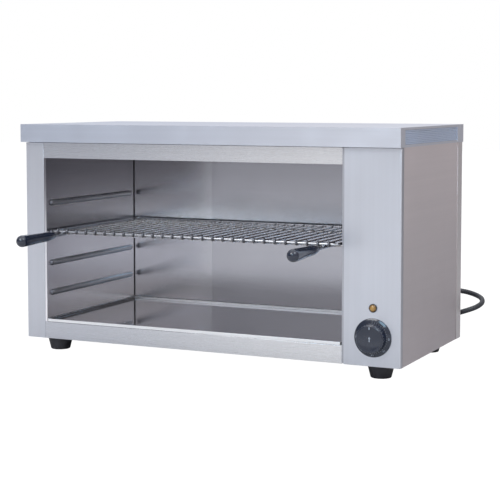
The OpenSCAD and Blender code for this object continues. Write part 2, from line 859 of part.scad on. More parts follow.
// The dial stands on its rim and on a collar round the spindle
module dial_bezel() {
  rim = 3;
  collar_r = spindle_hole_r + 3;
  color(black)
  translate([x_control, y_face, z_knob]) rotate([90, 0, 0])
    rotate_extrude()
      polygon([[collar_r, 0], [collar_r + 2, 0], [collar_r + 2, dial_t - 1],
        [dial_r - rim, dial_t - 1], [dial_r - rim, 0], [dial_r, 0],
        [dial_r, dial_t - 1.5], [dial_r - 0.5, dial_t - 0.5], [dial_r - 1.5, dial_t],
        [collar_r, dial_t]]);
}

module thermostat_screws() {
  color(dull)
  for (s = [-1, 1])
    translate([x_control + s * thermostat_screw_x, y_face, z_knob]) rotate([90, 0, 0]) {
      cylinder(h = 1.8, r = 3.4);
      translate([0, 0, -9]) cylinder(h = 9, r = screw_r);
    }
}

module indicator_lens() {
  color(amber)
  translate([x_control, y_face, z_lamp]) rotate([90, 0, 0])
    rotate_extrude()
      polygon(concat([[0, 0], [lens_r, 0], [lens_r, 1]],
        [for (k = [1 : 8]) [lens_r * cos(k * 11.25), 1 + 3.5 * sin(k * 11.25)]]));
}

module indicator_body() {
  y_in = y_face + sheet;
  color(black) {
    rod_y(x_control, y_face, y_in + lamp_body_l, z_lamp, lamp_body_r);
    translate([x_control, y_in, z_lamp]) rotate([-90, 0, 0])
      cylinder(h = 4, r = 8, $fn = 6);
    for (s = [-1, 1])
      slab(x_control + s * 2.5 - 0.4, x_control + s * 2.5 + 0.4, y_in + lamp_body_l,
        y_in + lamp_body_l + tab_l, z_lamp - 1.5, z_lamp + 1.5);
  }
}

module thermostat_bulb() {
  color(bright) rod_x(x_bulb - bulb_l, x_bulb, bulb_y, bulb_z, bulb_r);
}

module bulb_clips() {
  color(steel)
  for (x = [x_bulb - bulb_l + 10, x_bulb - 16])
    difference() {
      slab(x, x + 6, bulb_y - bulb_r - 1, y_back, bulb_z - bulb_r - 1, bulb_z + bulb_r + 1);
      rod_x(x - 1, x + 7, bulb_y, bulb_z, bulb_r + 0.05);
    }
}

// From the bulb through the right wall, forwards past the lamp and down to the
// thermostat
module capillary_tube() {
  x_down = x_control + capillary_past;
  y_down = y_face + thermostat_d / 2;
  z_down = z_knob + thermostat_w / 2;
  z_over = (z_down + bulb_z) / 2;
  color(brass)
    wire_through([[x_bulb, bulb_y, bulb_z], [x_wall_r, bulb_y, bulb_z],
      [x_wall_r + bulb_drop / 2, bulb_y - bulb_drop / 3, bulb_z - bulb_drop / 2],
      [x_wall_r + bulb_drop / 2, bulb_y - bulb_drop, bulb_z - bulb_drop],
      [(x_wall_r + x_down) / 2, 0, z_over + bulb_drop],
      [(x_wall_r + x_down) / 2, y_down + bulb_drop, z_over],
      [x_down, y_down, z_over - bulb_drop], [x_down, y_down, z_down + wire_rise],
      [x_down, y_down, z_down]], capillary_r, [0.6, 0.2, -0.5]);
}

// ---- Wiring ----

module terminal_block() {
  color(white)
  difference() {
    slab(x_control - block_w / 2, x_control + block_w / 2, block_y, block_y + block_d,
      block_z, block_z + block_h);
    for (x = block_poles, y = block_row)
      rod_z(x_control + x, block_y + y, block_z + block_well, block_z + block_h + 1, 2.5);
  }
}

module earth_stud() {
  color(brass) {
    rod_z(x_stud, y_stud, z_pan - 2.4, z_pan, screw_head_r);
    rod_z(x_stud, y_stud, z_pan - 2.4, z_pan + 16, foot_screw_r);
    translate([x_stud, y_stud, z_pan + sheet]) cylinder(h = foot_nut_h, r = foot_nut_r, $fn = 6);
  }
}

// A wire from a pole of the block, x0, forwards to a tab at x1, y1, z1
module block_wire(x0, x1, y1, z1) {
  y0 = block_y + block_row[0];
  z_block = block_z + block_h;
  wire_through([[x0, y0, block_z + block_well], [x0, y0, z_block + wire_rise / 3],
    [x0, y0 - wire_rise / 2, z_block + wire_rise],
    [(x0 + x1) / 2, y0 - wire_slack, z1 - wire_rise / 2], [x1, y1 + wire_reach, z1],
    [x1, y1 + wire_straight, z1], [x1, y1, z1]], wire_core_r, [1, 0.1, 0]);
}

// The cores from the lead, the wires to the thermostat and the lamp, and the links
// between the elements' terminals
module internal_wiring() {
  z_block = block_z + block_h;
  x_pin_end = x_leg_end + pin_end_l;
  x_link = x_pin_end + link_straight;
  y_lead = y_rear - inner_lead_l;
  color(brass) {
    for (x = block_poles)
      wire_through([[x_gland + x / 5, y_lead, z_gland],
        [x_gland + x / 5, y_lead - link_straight, z_gland],
        [x_control + x, block_y + block_row[1] + wire_rise / 2, z_gland - wire_rise],
        [x_control + x, block_y + block_row[1], z_block + wire_rise / 2],
        [x_control + x, block_y + block_row[1], block_z + block_well]],
        wire_core_r, [1, 0.1, 0]);
    block_wire(x_control + block_poles[0], x_control - 11,
      y_face + sheet + thermostat_d + tab_l, z_knob);
    block_wire(x_control + block_poles[1], x_control + 2.5,
      y_face + sheet + lamp_body_l + tab_l, z_lamp);
    for (i = [0 : 2]) {
      y = element_y(i);
      wire_through([[x_pin_end, y - leg_gap / 2, element_z],
        [x_link, y - leg_gap / 2, element_z],
        [x_link + link_drop, y - leg_gap / 3, element_z - link_drop],
        [x_link + link_drop, y + leg_gap / 3, element_z - link_drop],
        [x_link, y + leg_gap / 2, element_z],
        [x_pin_end, y + leg_gap / 2, element_z]], wire_core_r, [0.2, 0.1, 1]);
    }
  }
}

// ---- Mains cord ----

module cable_gland() {
  color(black)
  translate([x_gland, y_rear, z_gland]) rotate([-90, 0, 0])
  difference() {
    union() {
      translate([0, 0, -9]) cylinder(h = 9, r = gland_r);
      translate([0, 0, -sheet - 5]) cylinder(h = 5, r = gland_r + 4, $fn = 6);
      cylinder(h = 6, r = gland_r + 4, $fn = 6);
      translate([0, 0, 6]) cylinder(h = 8, r = gland_r + 2.5);
      translate([0, 0, 14]) cylinder(h = gland_l - 14, r1 = gland_r + 2.5, r2 = gland_r);
    }
    translate([0, 0, -10]) cylinder(h = gland_l + 11, r = cord_r + 0.05);
  }
}

module strain_relief() {
  color(rubber)
  translate([x_gland, y_relief, z_gland]) rotate([-90, 0, 0])
  difference() {
    union() {
      cylinder(h = relief_l, r1 = gland_r - 0.5, r2 = cord_r + 1.2);
      for (k = [0 : 3])
        translate([0, 0, 3 + k * 6])
          cylinder(h = 2.5, r = gland_r - 0.2 - k * 0.45);
    }
    translate([0, 0, -1]) cylinder(h = relief_l + 2, r = cord_r + 0.05);
  }
}

module inner_lead() {
  color(rubber) rod_y(x_gland, y_rear - inner_lead_l, y_exit, z_gland, cord_r);
}

module mains_cord() { color(rubber) tube(route, cord_r, 12, [0, 0, 1]); }
module mains_cord_end() { color(rubber) tube(tail_route, cord_r, 12, [0, 0, 1]); }

// The outer shape of three turns: two side by side and one on top between them
module cord_coil() {
  middle = (coil_inner + coil_outer) / 2;
  color(rubber)
  translate([coil_x, coil_y, coil_lift])
    rotate_extrude()
      polygon([[coil_inner + 2, 0], [coil_outer - 2, 0], [coil_outer, 2],
        [coil_outer, coil_shoulder], [middle + 4, coil_crown], [middle - 4, coil_crown],
        [coil_inner, coil_shoulder], [coil_inner, 2]]);
}

// A strap round the coil's turns, at the side away from the cabinet
module coil_tie() {
  gap = 0.1;
  y0 = coil_y + coil_inner - gap;
  y1 = coil_y + coil_outer + gap + 0.4;
  z1 = coil_lift + coil_crown + gap;
  color(black)
  difference() {
    slab(coil_x - tie_w / 2, coil_x + tie_w / 2, y0 - tie_t, y1 + tie_t,
      coil_lift - gap - tie_t, z1 + tie_t);
    slab(coil_x - tie_w, coil_x + tie_w, y0, y1, coil_lift - gap, z1);
  }
}

// A moulded plug that lies on its side, its pins pointing along -X
module mains_plug() {
  color(rubber)
  translate([plug_x, plug_y, plug_z]) rotate([0, -90, 0])
  difference() {
    rotate_extrude()
      polygon([[0, 0], [cord_r + 1.5, 0], [cord_r + 3, plug_neck_l * 0.5],
        [cord_r + 6, plug_neck_l * 0.8], [plug_r - 3, plug_neck_l],
        [plug_r, plug_neck_l + 4], [plug_r, plug_neck_l + plug_body_l - 1],
        [plug_r - 1, plug_neck_l + plug_body_l], [0, plug_neck_l + plug_body_l]]);
    for (s = [-1, 1])
      translate([0, s * pin_gap / 2, plug_neck_l + plug_body_l - 10])
        cylinder(h = 11, r = pin_r);
  }
}

module plug_pins() {
  x1 = plug_x - plug_neck_l - plug_body_l;
  color(brass)
  for (s = [-1, 1]) {
    rod_x(x1 - pin_l + 2, x1 + 10, plug_y + s * pin_gap / 2, plug_z, pin_r);
    translate([x1 - pin_l + 2, plug_y + s * pin_gap / 2, plug_z]) sphere(r = pin_r);
  }
}

// ---- Feet and screws ----

module foot(sx, sy) {
  h = z_pan;
  color(rubber)
  translate(foot_at(sx, sy))
  difference() {
    rotate_extrude()
      polygon([[0, 0], [foot_base_r - 1, 0], [foot_base_r, 1], [foot_top_r, h - 3],
        [foot_top_r, h], [0, h]]);
    translate([0, 0, -1]) cylinder(h = h + 2, r = foot_screw_r + screw_clearance);
    translate([0, 0, -1]) cylinder(h = h - 9, r = 6.5);
  }
}
module foot_front_left() { foot(-1, -1); }
module foot_front_right() { foot(1, -1); }
module foot_rear_left() { foot(-1, 1); }
module foot_rear_right() { foot(1, 1); }

module foot_screws() {
  head_z = z_pan - 10;
  color(dull)
  for (sx = [-1, 1], sy = [-1, 1])
    translate(foot_at(sx, sy)) {
      rod_z(0, 0, head_z - 3, head_z, 5);
      rod_z(0, 0, head_z - 3, z_pan + sheet + foot_nut_h + 3, foot_screw_r);
      translate([0, 0, z_pan + sheet]) cylinder(h = foot_nut_h, r = foot_nut_r, $fn = 6);
    }
}

module cover_screws() {
  color(dull)
  for (p = cover_screw_at)
    translate([p[0], p[1], z_top - sheet]) rotate([180, 0, 0]) screw_down(6);
}

module rear_screws() {
  color(bright)
  for (p = rear_screw_at)
    translate([p[0], y_rear, p[1]]) rotate([-90, 0, 0]) screw_down(6);
}

module base_screws() {
  color(dull)
  for (p = base_screw_at)
    translate([p[0], p[1], z_body]) rotate([180, 0, 0]) screw_down(6);
}

top_cover();
vent_grille_left();
vent_grille_right();
left_side_panel();
right_side_panel();
rear_panel();
base_pan();
left_stile();
header_rail();
sill_rail();
control_fascia();
cavity_wall_left();
cavity_wall_right();
cavity_back();
cavity_floor();
floor_supports();
reflector();
insulation_blanket();
heating_element_front();
heating_element_middle();
heating_element_rear();
element_fittings();
element_hangers();
rack_frame();
rack_wires();
handle_shanks();
left_grip();
right_grip();
drip_tray();
thermostat_body();
thermostat_spindle();
control_knob();
dial_bezel();
indicator_lens();
indicator_body();
thermostat_bulb();
bulb_clips();
capillary_tube();
terminal_block();
earth_stud();
internal_wiring();
cable_gland();
strain_relief();
inner_lead();
mains_cord();
cord_coil();
coil_tie();
mains_cord_end();
mains_plug();
plug_pins();
foot_front_left();
foot_front_right();
foot_rear_left();
foot_rear_right();
foot_screws();
cover_screws();
rear_screws();
base_screws();
thermostat_screws();
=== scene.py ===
# %% [markdown]
# # A countertop cheese melter
#
# The object is an open-front stainless cabinet. It has heating elements under its top,
# a wire rack on pressed runners, a drip tray, a thermostat and a lamp, and a mains
# cord at the back. Its solids come ready made and in place. This lesson gives them
# their finishes, and adds the pieces whose detail is too fine for plain solids:
# perforated vents, rolled edges, a fluted knob with a printed dial, screw heads, and
# a cord that lies in its coil.

# %% Load the solids
import json
from functools import partial
from math import cos, degrees, hypot, pi, radians, sin, sqrt

import bmesh
import bpy
from mathutils import Matrix, Vector


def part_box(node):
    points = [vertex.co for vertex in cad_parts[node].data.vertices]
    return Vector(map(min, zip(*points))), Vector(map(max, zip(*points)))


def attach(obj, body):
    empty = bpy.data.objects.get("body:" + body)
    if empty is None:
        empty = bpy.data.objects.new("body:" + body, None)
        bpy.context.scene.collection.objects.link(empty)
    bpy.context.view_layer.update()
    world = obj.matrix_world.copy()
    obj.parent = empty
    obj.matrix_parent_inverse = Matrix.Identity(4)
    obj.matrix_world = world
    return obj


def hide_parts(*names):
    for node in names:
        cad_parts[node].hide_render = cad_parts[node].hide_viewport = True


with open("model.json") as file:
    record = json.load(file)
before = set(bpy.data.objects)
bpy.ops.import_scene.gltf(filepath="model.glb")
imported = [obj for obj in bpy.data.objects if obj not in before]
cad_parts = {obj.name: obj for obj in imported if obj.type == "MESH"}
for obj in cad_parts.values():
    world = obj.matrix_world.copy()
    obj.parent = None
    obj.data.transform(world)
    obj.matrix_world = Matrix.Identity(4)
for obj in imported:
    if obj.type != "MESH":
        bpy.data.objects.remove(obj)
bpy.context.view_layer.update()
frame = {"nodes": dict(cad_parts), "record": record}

nodes = frame["nodes"]
scene = bpy.context.scene
MM = 0.001


def new_object(name, data):
    piece = bpy.data.objects.new(name, data)
    scene.collection.objects.link(piece)
    return piece


# %% [markdown]
# ## The camera
#
# A product picture is taken with a long lens, low and from the right. With 99 mm the
# sides hardly converge. Turning the camera down would tilt the upright edges, so most of
# the framing comes from a small vertical shift, as with a view camera.

# %% Place the camera
LENS_MM, SENSOR_MM, SHIFT_Y = 99, 36, -0.1056
TURNED, TIPPED = radians(25.2), radians(4.13)
CAMERA_AT = (1.0396, -2.1833, 0.4458)


def aimed(thing, place, direction):
    """Puts a camera or a light at a place and points it in a direction."""
    thing.location = place
    thing.rotation_euler = direction.to_track_quat("-Z", "Y").to_euler()


lens = bpy.data.cameras.new("camera")
lens.sensor_width, lens.lens, lens.shift_y = SENSOR_MM, LENS_MM, SHIFT_Y
scene.camera = new_object("camera", lens)
aimed(scene.camera, CAMERA_AT,
      Vector((-sin(TURNED) * cos(TIPPED), cos(TURNED) * cos(TIPPED), -sin(TIPPED))))

# %% [markdown]
# ## Helpers for nodes
#
# The world, the finishes and the geometry are all made with nodes. These helpers add
# a node with its settings and its inputs in one call.

# %% Add nodes to a tree
def fill(tree, sockets, values):
    """Fills input sockets. A value is plain, a socket to link, or a list of sockets."""
    for key, value in values.items():
        if isinstance(value, bpy.types.NodeSocket):
            value = [value]
        if isinstance(value, list):
            for source in value:
                tree.links.new(source, sockets[key])
        else:
            sockets[key].default_value = value


def add(tree, kind, inputs=None, **settings):
    """Adds a node, sets its settings, fills its inputs, and gives its outputs."""
    node = tree.nodes.new(kind)
    for key, value in settings.items():
        setattr(node, key, value)
    fill(tree, node.inputs, inputs or {})
    return node.outputs


def calc(tree, operation, *values):
    """A Math node on one to three values, each a socket or a plain number."""
    return add(tree, "ShaderNodeMath", dict(enumerate(values)), operation=operation)[0]


def ramp(tree, source, low, high, kind="SMOOTHSTEP", to=(0.0, 1.0)):
    """A value that goes from 0 to 1, or over to, while source goes from low to high."""
    return add(tree, "ShaderNodeMapRange",
               {"Value": source, "From Min": low, "From Max": high, "To Min": to[0],
                "To Max": to[1]}, interpolation_type=kind)["Result"]


def mixed(tree, share, first, second, blend="MIX"):
    """Mixes two colours by a share. Each is three numbers or a socket."""
    ends = {label: colour if isinstance(colour, bpy.types.NodeSocket) else (*colour, 1)
            for label, colour in (("A", first), ("B", second))}
    return add(tree, "ShaderNodeMix", {"Factor": share, **ends}, data_type="RGBA",
               blend_type=blend)["Result"]


def noise(tree, place, scale, detail, roughness=0.5):
    return add(tree, "ShaderNodeTexNoise",
               {"Vector": place, "Scale": scale, "Detail": detail,
                "Roughness": roughness})["Fac"]


def along(tree, axis):
    """How far a point lies along one axis of its object."""
    place = add(tree, "ShaderNodeTexCoord")["Object"]
    return add(tree, "ShaderNodeSeparateXYZ", {0: place})[axis]


def new_group(kind, name, inputs, outputs):
    """A node group with named sockets: gives its tree and what it is given."""
    tree = bpy.data.node_groups.new(name, kind + "NodeTree")
    for way, sockets in (("INPUT", inputs), ("OUTPUT", outputs)):
        for label, socket_kind in sockets.items():
            tree.interface.new_socket(name=label, in_out=way,
                                      socket_type="NodeSocket" + socket_kind)
    return tree, add(tree, "NodeGroupInput")


# %% [markdown]
# ## Colours and light
#
# The standard view shows a colour as it was mixed. Steel has no colour of its own to
# speak of and shows its surroundings, so the world is a soft gradient. In front it goes
# from dark at the left to bright at the right, which shades the cabinet's front. Behind,
# it is bright at the left for the top of the cover, and darker at the right for the side
# panel. A small blue window, high in front, gives the black plastic its highlights.

# %% Build the surroundings
scene.view_settings.view_transform = "Standard"
scene.view_settings.look = "None"
WHITE = (1.0, 1.0, 1.0)

world = bpy.data.worlds.new("studio")
scene.world = world
world.use_nodes = True
sky = world.node_tree
sky.nodes.clear()
direction = add(sky, "ShaderNodeTexCoord")["Generated"]
split = add(sky, "ShaderNodeSeparateXYZ", {0: direction})


def window(towards, half_angle, soft):
    """The share of a round window in the sky, with angles in degrees."""
    facing = add(sky, "ShaderNodeVectorMath",
                 {0: direction, 1: Vector(towards).normalized()},
                 operation="DOT_PRODUCT")["Value"]
    return ramp(sky, facing, cos(radians(half_angle + soft)), cos(radians(half_angle)))


# X is -1 at the left and +1 at the right, Y is -1 in front and +1 behind
in_front = mixed(sky, ramp(sky, split["X"], -0.85, -0.05),
                 (0.19, 0.21, 0.255), (0.68, 0.668, 0.665))
behind = mixed(sky, ramp(sky, split["X"], -0.25, 0.35),
               (0.68, 0.69, 0.735), (0.42, 0.395, 0.405))
all_round = mixed(sky, ramp(sky, split["Y"], -0.3, 0.4), in_front, behind)
brighter_up = mixed(sky, ramp(sky, split["Z"], 0.05, 0.9), all_round,
                    (0.29, 0.295, 0.315), "ADD")
surroundings = mixed(sky, window((0.06, -0.90, 0.38), 7, 4), brighter_up,
                     (2.6, 4.2, 5.5), "ADD")
lit_by = add(sky, "ShaderNodeBackground", {"Color": surroundings})[0]
seen = add(sky, "ShaderNodeBackground", {"Color": (*WHITE, 1), "Strength": 1.0})[0]
shown = add(sky, "ShaderNodeMixShader",
            {"Fac": add(sky, "ShaderNodeLightPath")["Is Camera Ray"],
             1: lit_by, 2: seen})[0]
add(sky, "ShaderNodeOutputWorld", {"Surface": shown})


def softbox(name, place, target, size, watts, colour=WHITE):
    """A square area light of a given size in metres, aimed at a point."""
    data = bpy.data.lights.new(name, "AREA")
    data.shape, data.size, data.energy, data.color = "SQUARE", size, watts, colour
    aimed(new_object(name, data), place, Vector(target) - Vector(place))


softbox("key_light", (-0.9, -2.6, 2.3), (0, 0, 0.2), 1.6, 38)
softbox("top_light", (0.3, -0.2, 2.6), (0, 0, 0.3), 3.2, 14)
softbox("edge_light", (1.9, -1.1, 2.6), (0.3, 0, 0.2), 1.2, 23, (0.80, 0.90, 1.0))

# %% [markdown]
# The floor is pale and matt. What the camera sees of it is mostly a plain white, with
# a faint share of the real shading, so the feet still cast a soft shadow. What the
# steel sees of it is paler in front of the cabinet than behind it.

# %% Lay the floor
FLOOR_HALF = 9.0
PALE_IN_FRONT, PALE_BEHIND = 0.73, 0.42
PLAIN_WHITE, PLAIN_SHARE = 1.2, 0.86
floor_mesh = bpy.data.meshes.new("floor")
floor_mesh.from_pydata([(x * FLOOR_HALF, y * FLOOR_HALF, 0)
                        for x, y in ((-1, -1), (1, -1), (1, 1), (-1, 1))],
                       [], [(0, 1, 2, 3)])
floor = new_object("floor", floor_mesh)
pale = bpy.data.materials.new("pale_floor")
pale.use_nodes = True
tree = pale.node_tree
tree.nodes.clear()
paleness = ramp(tree, along(tree, "Y"), -0.7, 0.4, "LINEAR", (PALE_IN_FRONT, PALE_BEHIND))
matt = add(tree, "ShaderNodeBsdfDiffuse", {"Color": paleness})[0]
white = add(tree, "ShaderNodeEmission",
            {"Color": (*WHITE, 1), "Strength": PLAIN_WHITE})[0]
share = calc(tree, "MULTIPLY", add(tree, "ShaderNodeLightPath")["Is Camera Ray"],
             PLAIN_SHARE)
shown = add(tree, "ShaderNodeMixShader", {"Fac": share, 1: matt, 2: white})[0]
add(tree, "ShaderNodeOutputMaterial", {"Surface": shown})
floor_mesh.materials.append(pale)

# %% [markdown]
# ## Effects that several finishes share
#
# Steel, rubber and moulded plastic all carry a fine texture, and are handled and wiped.
# Each effect is a node group with named inputs, so a finish only says how strong and
# how large it wants the effect.

# %% Brushed grain
# Long thin streaks: noise that is stretched along the belt's direction
grain, given = new_group("Shader", "Brushed grain",
                         {"Position": "Vector", "Stretch": "Vector"},
                         {"Streaks": "Float", "Bands": "Float"})
stretched = add(grain, "ShaderNodeVectorMath",
                {0: given["Position"], 1: given["Stretch"]}, operation="MULTIPLY")[0]
add(grain, "NodeGroupOutput", {"Streaks": noise(grain, stretched, 1.0, 3.0, 0.7),
                               "Bands": noise(grain, stretched, 0.08, 2.0)})

# %% Handling marks
# Soft clouds where a cloth or a hand has been, with a sharper edge here and there
marks, given = new_group("Shader", "Handling marks",
                         {"Position": "Vector", "Size": "Float"}, {"Mask": "Float"})
clouds = noise(marks, given["Position"], given["Size"], 4.0, 0.6)
add(marks, "NodeGroupOutput", {"Mask": ramp(marks, clouds, 0.42, 0.68)})

# %% Moulded skin
# The fine pebbled skin of rubber and phenolic mouldings
skin, given = new_group("Shader", "Moulded skin",
                        {"Position": "Vector", "Pebbles": "Float"},
                        {"Height": "Float", "Dust": "Float"})
specks = noise(skin, given["Position"], 35.0, 5.0, 0.65)
add(skin, "NodeGroupOutput",
    {"Height": noise(skin, given["Position"], given["Pebbles"], 2.0),
     "Dust": ramp(skin, specks, 0.45, 0.75, "LINEAR")})

# %% [markdown]
# ## Finishes
#
# Most of the cabinet is satin stainless sheet. Its streaks run along the sheet, so the
# bump spreads reflections across the grain as the real scratches do. One function
# makes every steel finish, and only its tone, polish and grain direction change.

# %% Steel
ALONG_X = (9.0, 1500.0, 1500.0)
ALONG_Y = (1500.0, 9.0, 1500.0)
ALONG_Z = (1500.0, 1500.0, 9.0)
DARK_STREAK, LIGHT_STREAK = 0.93, 1.06
BAND_SHARE, STREAK_SHARE = 0.6, 0.4
ROUGH_SWING, SCRATCH_DEPTH = 0.08, 0.00004
# How deep the streaks are, how much the clouds dull the steel, and the clouds' size
WIPED, MIRROR, PLATED = (0.15, 0.02, 14.0), (0.04, 0.02, 16.0), (0.03, 0.05, 40.0)


def effect(tree, group, place, **values):
    """Puts a shared effect into a finish, and gives its outputs."""
    return add(tree, "ShaderNodeGroup", {"Position": place, **values}, node_tree=group)


def new_material(name, tone, roughness, metallic=0.0):
    """A Principled material: gives it, its tree, its shader's inputs and a position."""
    material = bpy.data.materials.new(name)
    material.use_nodes = True
    tree = material.node_tree
    shader = tree.nodes["Principled BSDF"].inputs
    fill(tree, shader, {"Base Color": (*tone, 1), "Roughness": roughness,
                        "Metallic": metallic})
    return material, tree, shader, add(tree, "ShaderNodeTexCoord")["Object"]


def bump(tree, height, strength, distance):
    return add(tree, "ShaderNodeBump", {"Height": height, "Strength": strength,
                                        "Distance": distance})["Normal"]


def steel(name, tone, roughness, stretch, scratch=0.25, cloud=0.06, cloud_size=9.0):
    """Brushed or polished steel: tone, roughness, and how deep its streaks are."""
    material, tree, shader, place = new_material(name, tone, roughness, 1.0)
    streaks = effect(tree, grain, place, Stretch=stretch)
    smudge = effect(tree, marks, place, Size=cloud_size)["Mask"]
    shade = calc(tree, "MULTIPLY_ADD", streaks["Bands"], BAND_SHARE,
                 calc(tree, "MULTIPLY", streaks["Streaks"], STREAK_SHARE))
    uneven = calc(tree, "MULTIPLY_ADD", streaks["Streaks"], ROUGH_SWING,
                  roughness - ROUGH_SWING / 2)
    fill(tree, shader, {
        "Base Color": mixed(tree, shade, [c * DARK_STREAK for c in tone],
                            [min(1, c * LIGHT_STREAK) for c in tone]),
        "Roughness": calc(tree, "MULTIPLY_ADD", smudge, cloud, uneven),
        "Normal": bump(tree, streaks["Streaks"], scratch, SCRATCH_DEPTH)})
    return material


satin_x = steel("satin_stainless", (0.68, 0.70, 0.745), 0.36, ALONG_X)
satin_z = steel("satin_stainless_upright", (0.63, 0.64, 0.69), 0.36, ALONG_Z)
cover_sheet = steel("satin_stainless_cover", (0.66, 0.70, 0.785), 0.36, ALONG_X)
rail_sheet = steel("satin_stainless_rail", (0.68, 0.69, 0.72), 0.27, ALONG_X, 0.25, 0.01)
side_sheet = steel("satin_stainless_side", (0.72, 0.66, 0.675), 0.38, ALONG_Y)
rear_sheet = steel("satin_stainless_rear", (0.71, 0.667, 0.668), 0.36, ALONG_X)
# Painted shade: a darker steel for the fascia's corner fold and the strip in the step
# beside it
shaded_fold_steel = steel("satin_stainless_painted_shade", (0.46, 0.46, 0.50), 0.34, ALONG_Z)
# The side walls' steel is a much lighter copy of the back sheet's: painted light
liner = steel("cavity_stainless", (0.50, 0.50, 0.54), 0.20, ALONG_X, *WIPED)
liner_side = steel("cavity_stainless_side", (0.80, 0.79, 0.83), 0.22, ALONG_Y, *WIPED)
rib_steel = steel("pressed_rib", (0.60, 0.60, 0.63), 0.42, ALONG_Y, 0.15)
polished = steel("bright_stainless", (0.58, 0.58, 0.62), 0.08, ALONG_X, *MIRROR)
tray_steel = steel("tray_stainless", (0.50, 0.49, 0.52), 0.08, ALONG_X, *MIRROR)
# Painted shade: a much darker steel for the runners' front ends
shaded_rib_end = steel("pressed_rib_end", (0.17, 0.17, 0.19), 0.50, ALONG_Y, 0.15)
# Painted highlights: a brighter steel for the tray's rear fold and for its rim
painted_highlight_fold = steel("tray_fold_stainless", (0.88, 0.88, 0.91), 0.35, ALONG_X, 0.1)
painted_highlight_rim = steel("tray_rim_painted_highlight", (0.93, 0.93, 0.95), 0.30, ALONG_X, 0.1)
dull_sheet = steel("plain_sheet", (0.42, 0.43, 0.45), 0.45, ALONG_X, 0.3, 0.12)
vent_steel = steel("vent_stainless", (0.72, 0.80, 0.97), 0.42, ALONG_Y, 0.2)
chrome = steel("rack_chrome", (0.50, 0.51, 0.54), 0.20, ALONG_Y, *PLATED)
wire_chrome = steel("rack_chrome_wires", (0.56, 0.54, 0.53), 0.26, ALONG_Y, *PLATED)
# Painted shade: a much darker chrome for the hooks round the rack's front rod
shaded_hook_chrome = steel("rack_chrome_painted_shade", (0.17, 0.17, 0.19), 0.30, ALONG_Y, *PLATED)
screw_steel = steel("screw_steel", (0.62, 0.62, 0.64), 0.28, ALONG_X, 0.15)
brass = steel("turned_brass", (0.66, 0.50, 0.22), 0.30, ALONG_X, 0.15)
copper = steel("drawn_copper", (0.70, 0.36, 0.22), 0.32, ALONG_Y, 0.15)

# %% [markdown]
# Tints along an axis paint light and shade into several finishes. The cavity's side
# walls get painted shade towards their top and painted light at their foot, and the back
# sheet painted shade towards its top. The back sheet is also a little darker to the right
# of a line near its left edge. The rack's wires get painted light towards the left, the
# tray painted shade at its left end, the rails and the cover painted light towards the
# right, and the side panels painted shade towards their foot.

# %% Painted light and shade along the sheets
def tinted(material, axis, low, high, first, last):
    """Multiplies a colour by a tint that eases from first to last along an axis."""
    tree = material.node_tree
    colour = tree.nodes["Principled BSDF"].inputs["Base Color"]
    before = colour.links[0].from_socket
    tint = mixed(tree, ramp(tree, along(tree, axis), low, high), first, last)
    tree.links.new(mixed(tree, 1.0, before, tint, "MULTIPLY"), colour)


# All of these but the back sheet's tint along X paint light or shade
tinted(liner_side, "Z", 0.15, 0.33, WHITE, (0.30, 0.29, 0.30))
tinted(wire_chrome, "X", -0.28, 0.22, (1.5, 1.5, 1.45), (0.95, 0.95, 0.96))
tinted(liner_side, "Z", 0.07, 0.13, (1.22, 1.21, 1.19), WHITE)
tinted(liner, "Z", 0.16, 0.36, WHITE, (0.86, 0.86, 0.87))
tinted(liner, "X", -0.1385, -0.1370, (1.03, 1.03, 1.01), (0.89, 0.885, 0.885))
tinted(tray_steel, "X", -0.30, -0.12, (0.41, 0.41, 0.41), WHITE)
tinted(rail_sheet, "X", -0.30, 0.25, (0.86, 0.86, 0.89), (1.21, 1.18, 1.15))
tinted(cover_sheet, "X", -0.32, 0.32, (0.89, 0.885, 0.90), (1.03, 0.99, 0.96))
tinted(side_sheet, "Z", 0.03, 0.37, (0.76, 0.75, 0.75), (1.10, 1.09, 1.07))

# %% [markdown]
# The sheath of a used heating element is no longer bright. Heat has given it a dark
# skin that is lighter in patches, so its colour follows a cloud pattern.

# %% Element sheath
sheath, tree, shader, place = new_material("oxidised_sheath", (0.2, 0.19, 0.18), 0.5, 0.7)
patches = effect(tree, marks, place, Size=45.0)["Mask"]
fill(tree, shader, {
    "Base Color": mixed(tree, patches, (0.13, 0.12, 0.115), (0.34, 0.31, 0.28)),
    "Roughness": calc(tree, "MULTIPLY_ADD", patches, 0.2, 0.42),
    "Normal": bump(tree, patches, 0.15, 0.0002)})

# %% [markdown]
# The grips, the knob and its dial are glossy black phenolic. It's nearly mirror
# smooth, so what sells it is a slight unevenness in the gloss and some dust. The feet
# and the cord are softer rubber with a pebbled skin.

# %% Plastics and rubber
COAT_ROUGH, DUST_ROUGH, PEBBLE_DEPTH = 0.06, 0.12, 0.00005


def moulded(name, tone, roughness, pebbles, depth, dusty, coat=0.0):
    """Moulded plastic or rubber with a pebbled skin and a trace of dust."""
    material, tree, shader, place = new_material(name, tone, roughness)
    surface = effect(tree, skin, place, Pebbles=pebbles)
    dusted = calc(tree, "MULTIPLY", surface["Dust"], dusty)
    fill(tree, shader, {
        "Coat Weight": coat, "Coat Roughness": COAT_ROUGH,
        "Base Color": mixed(tree, dusted, tone, [0.25 + 0.5 * c for c in tone]),
        "Roughness": calc(tree, "MULTIPLY_ADD", surface["Dust"], DUST_ROUGH, roughness),
        "Normal": bump(tree, surface["Height"], depth, PEBBLE_DEPTH)})
    return material


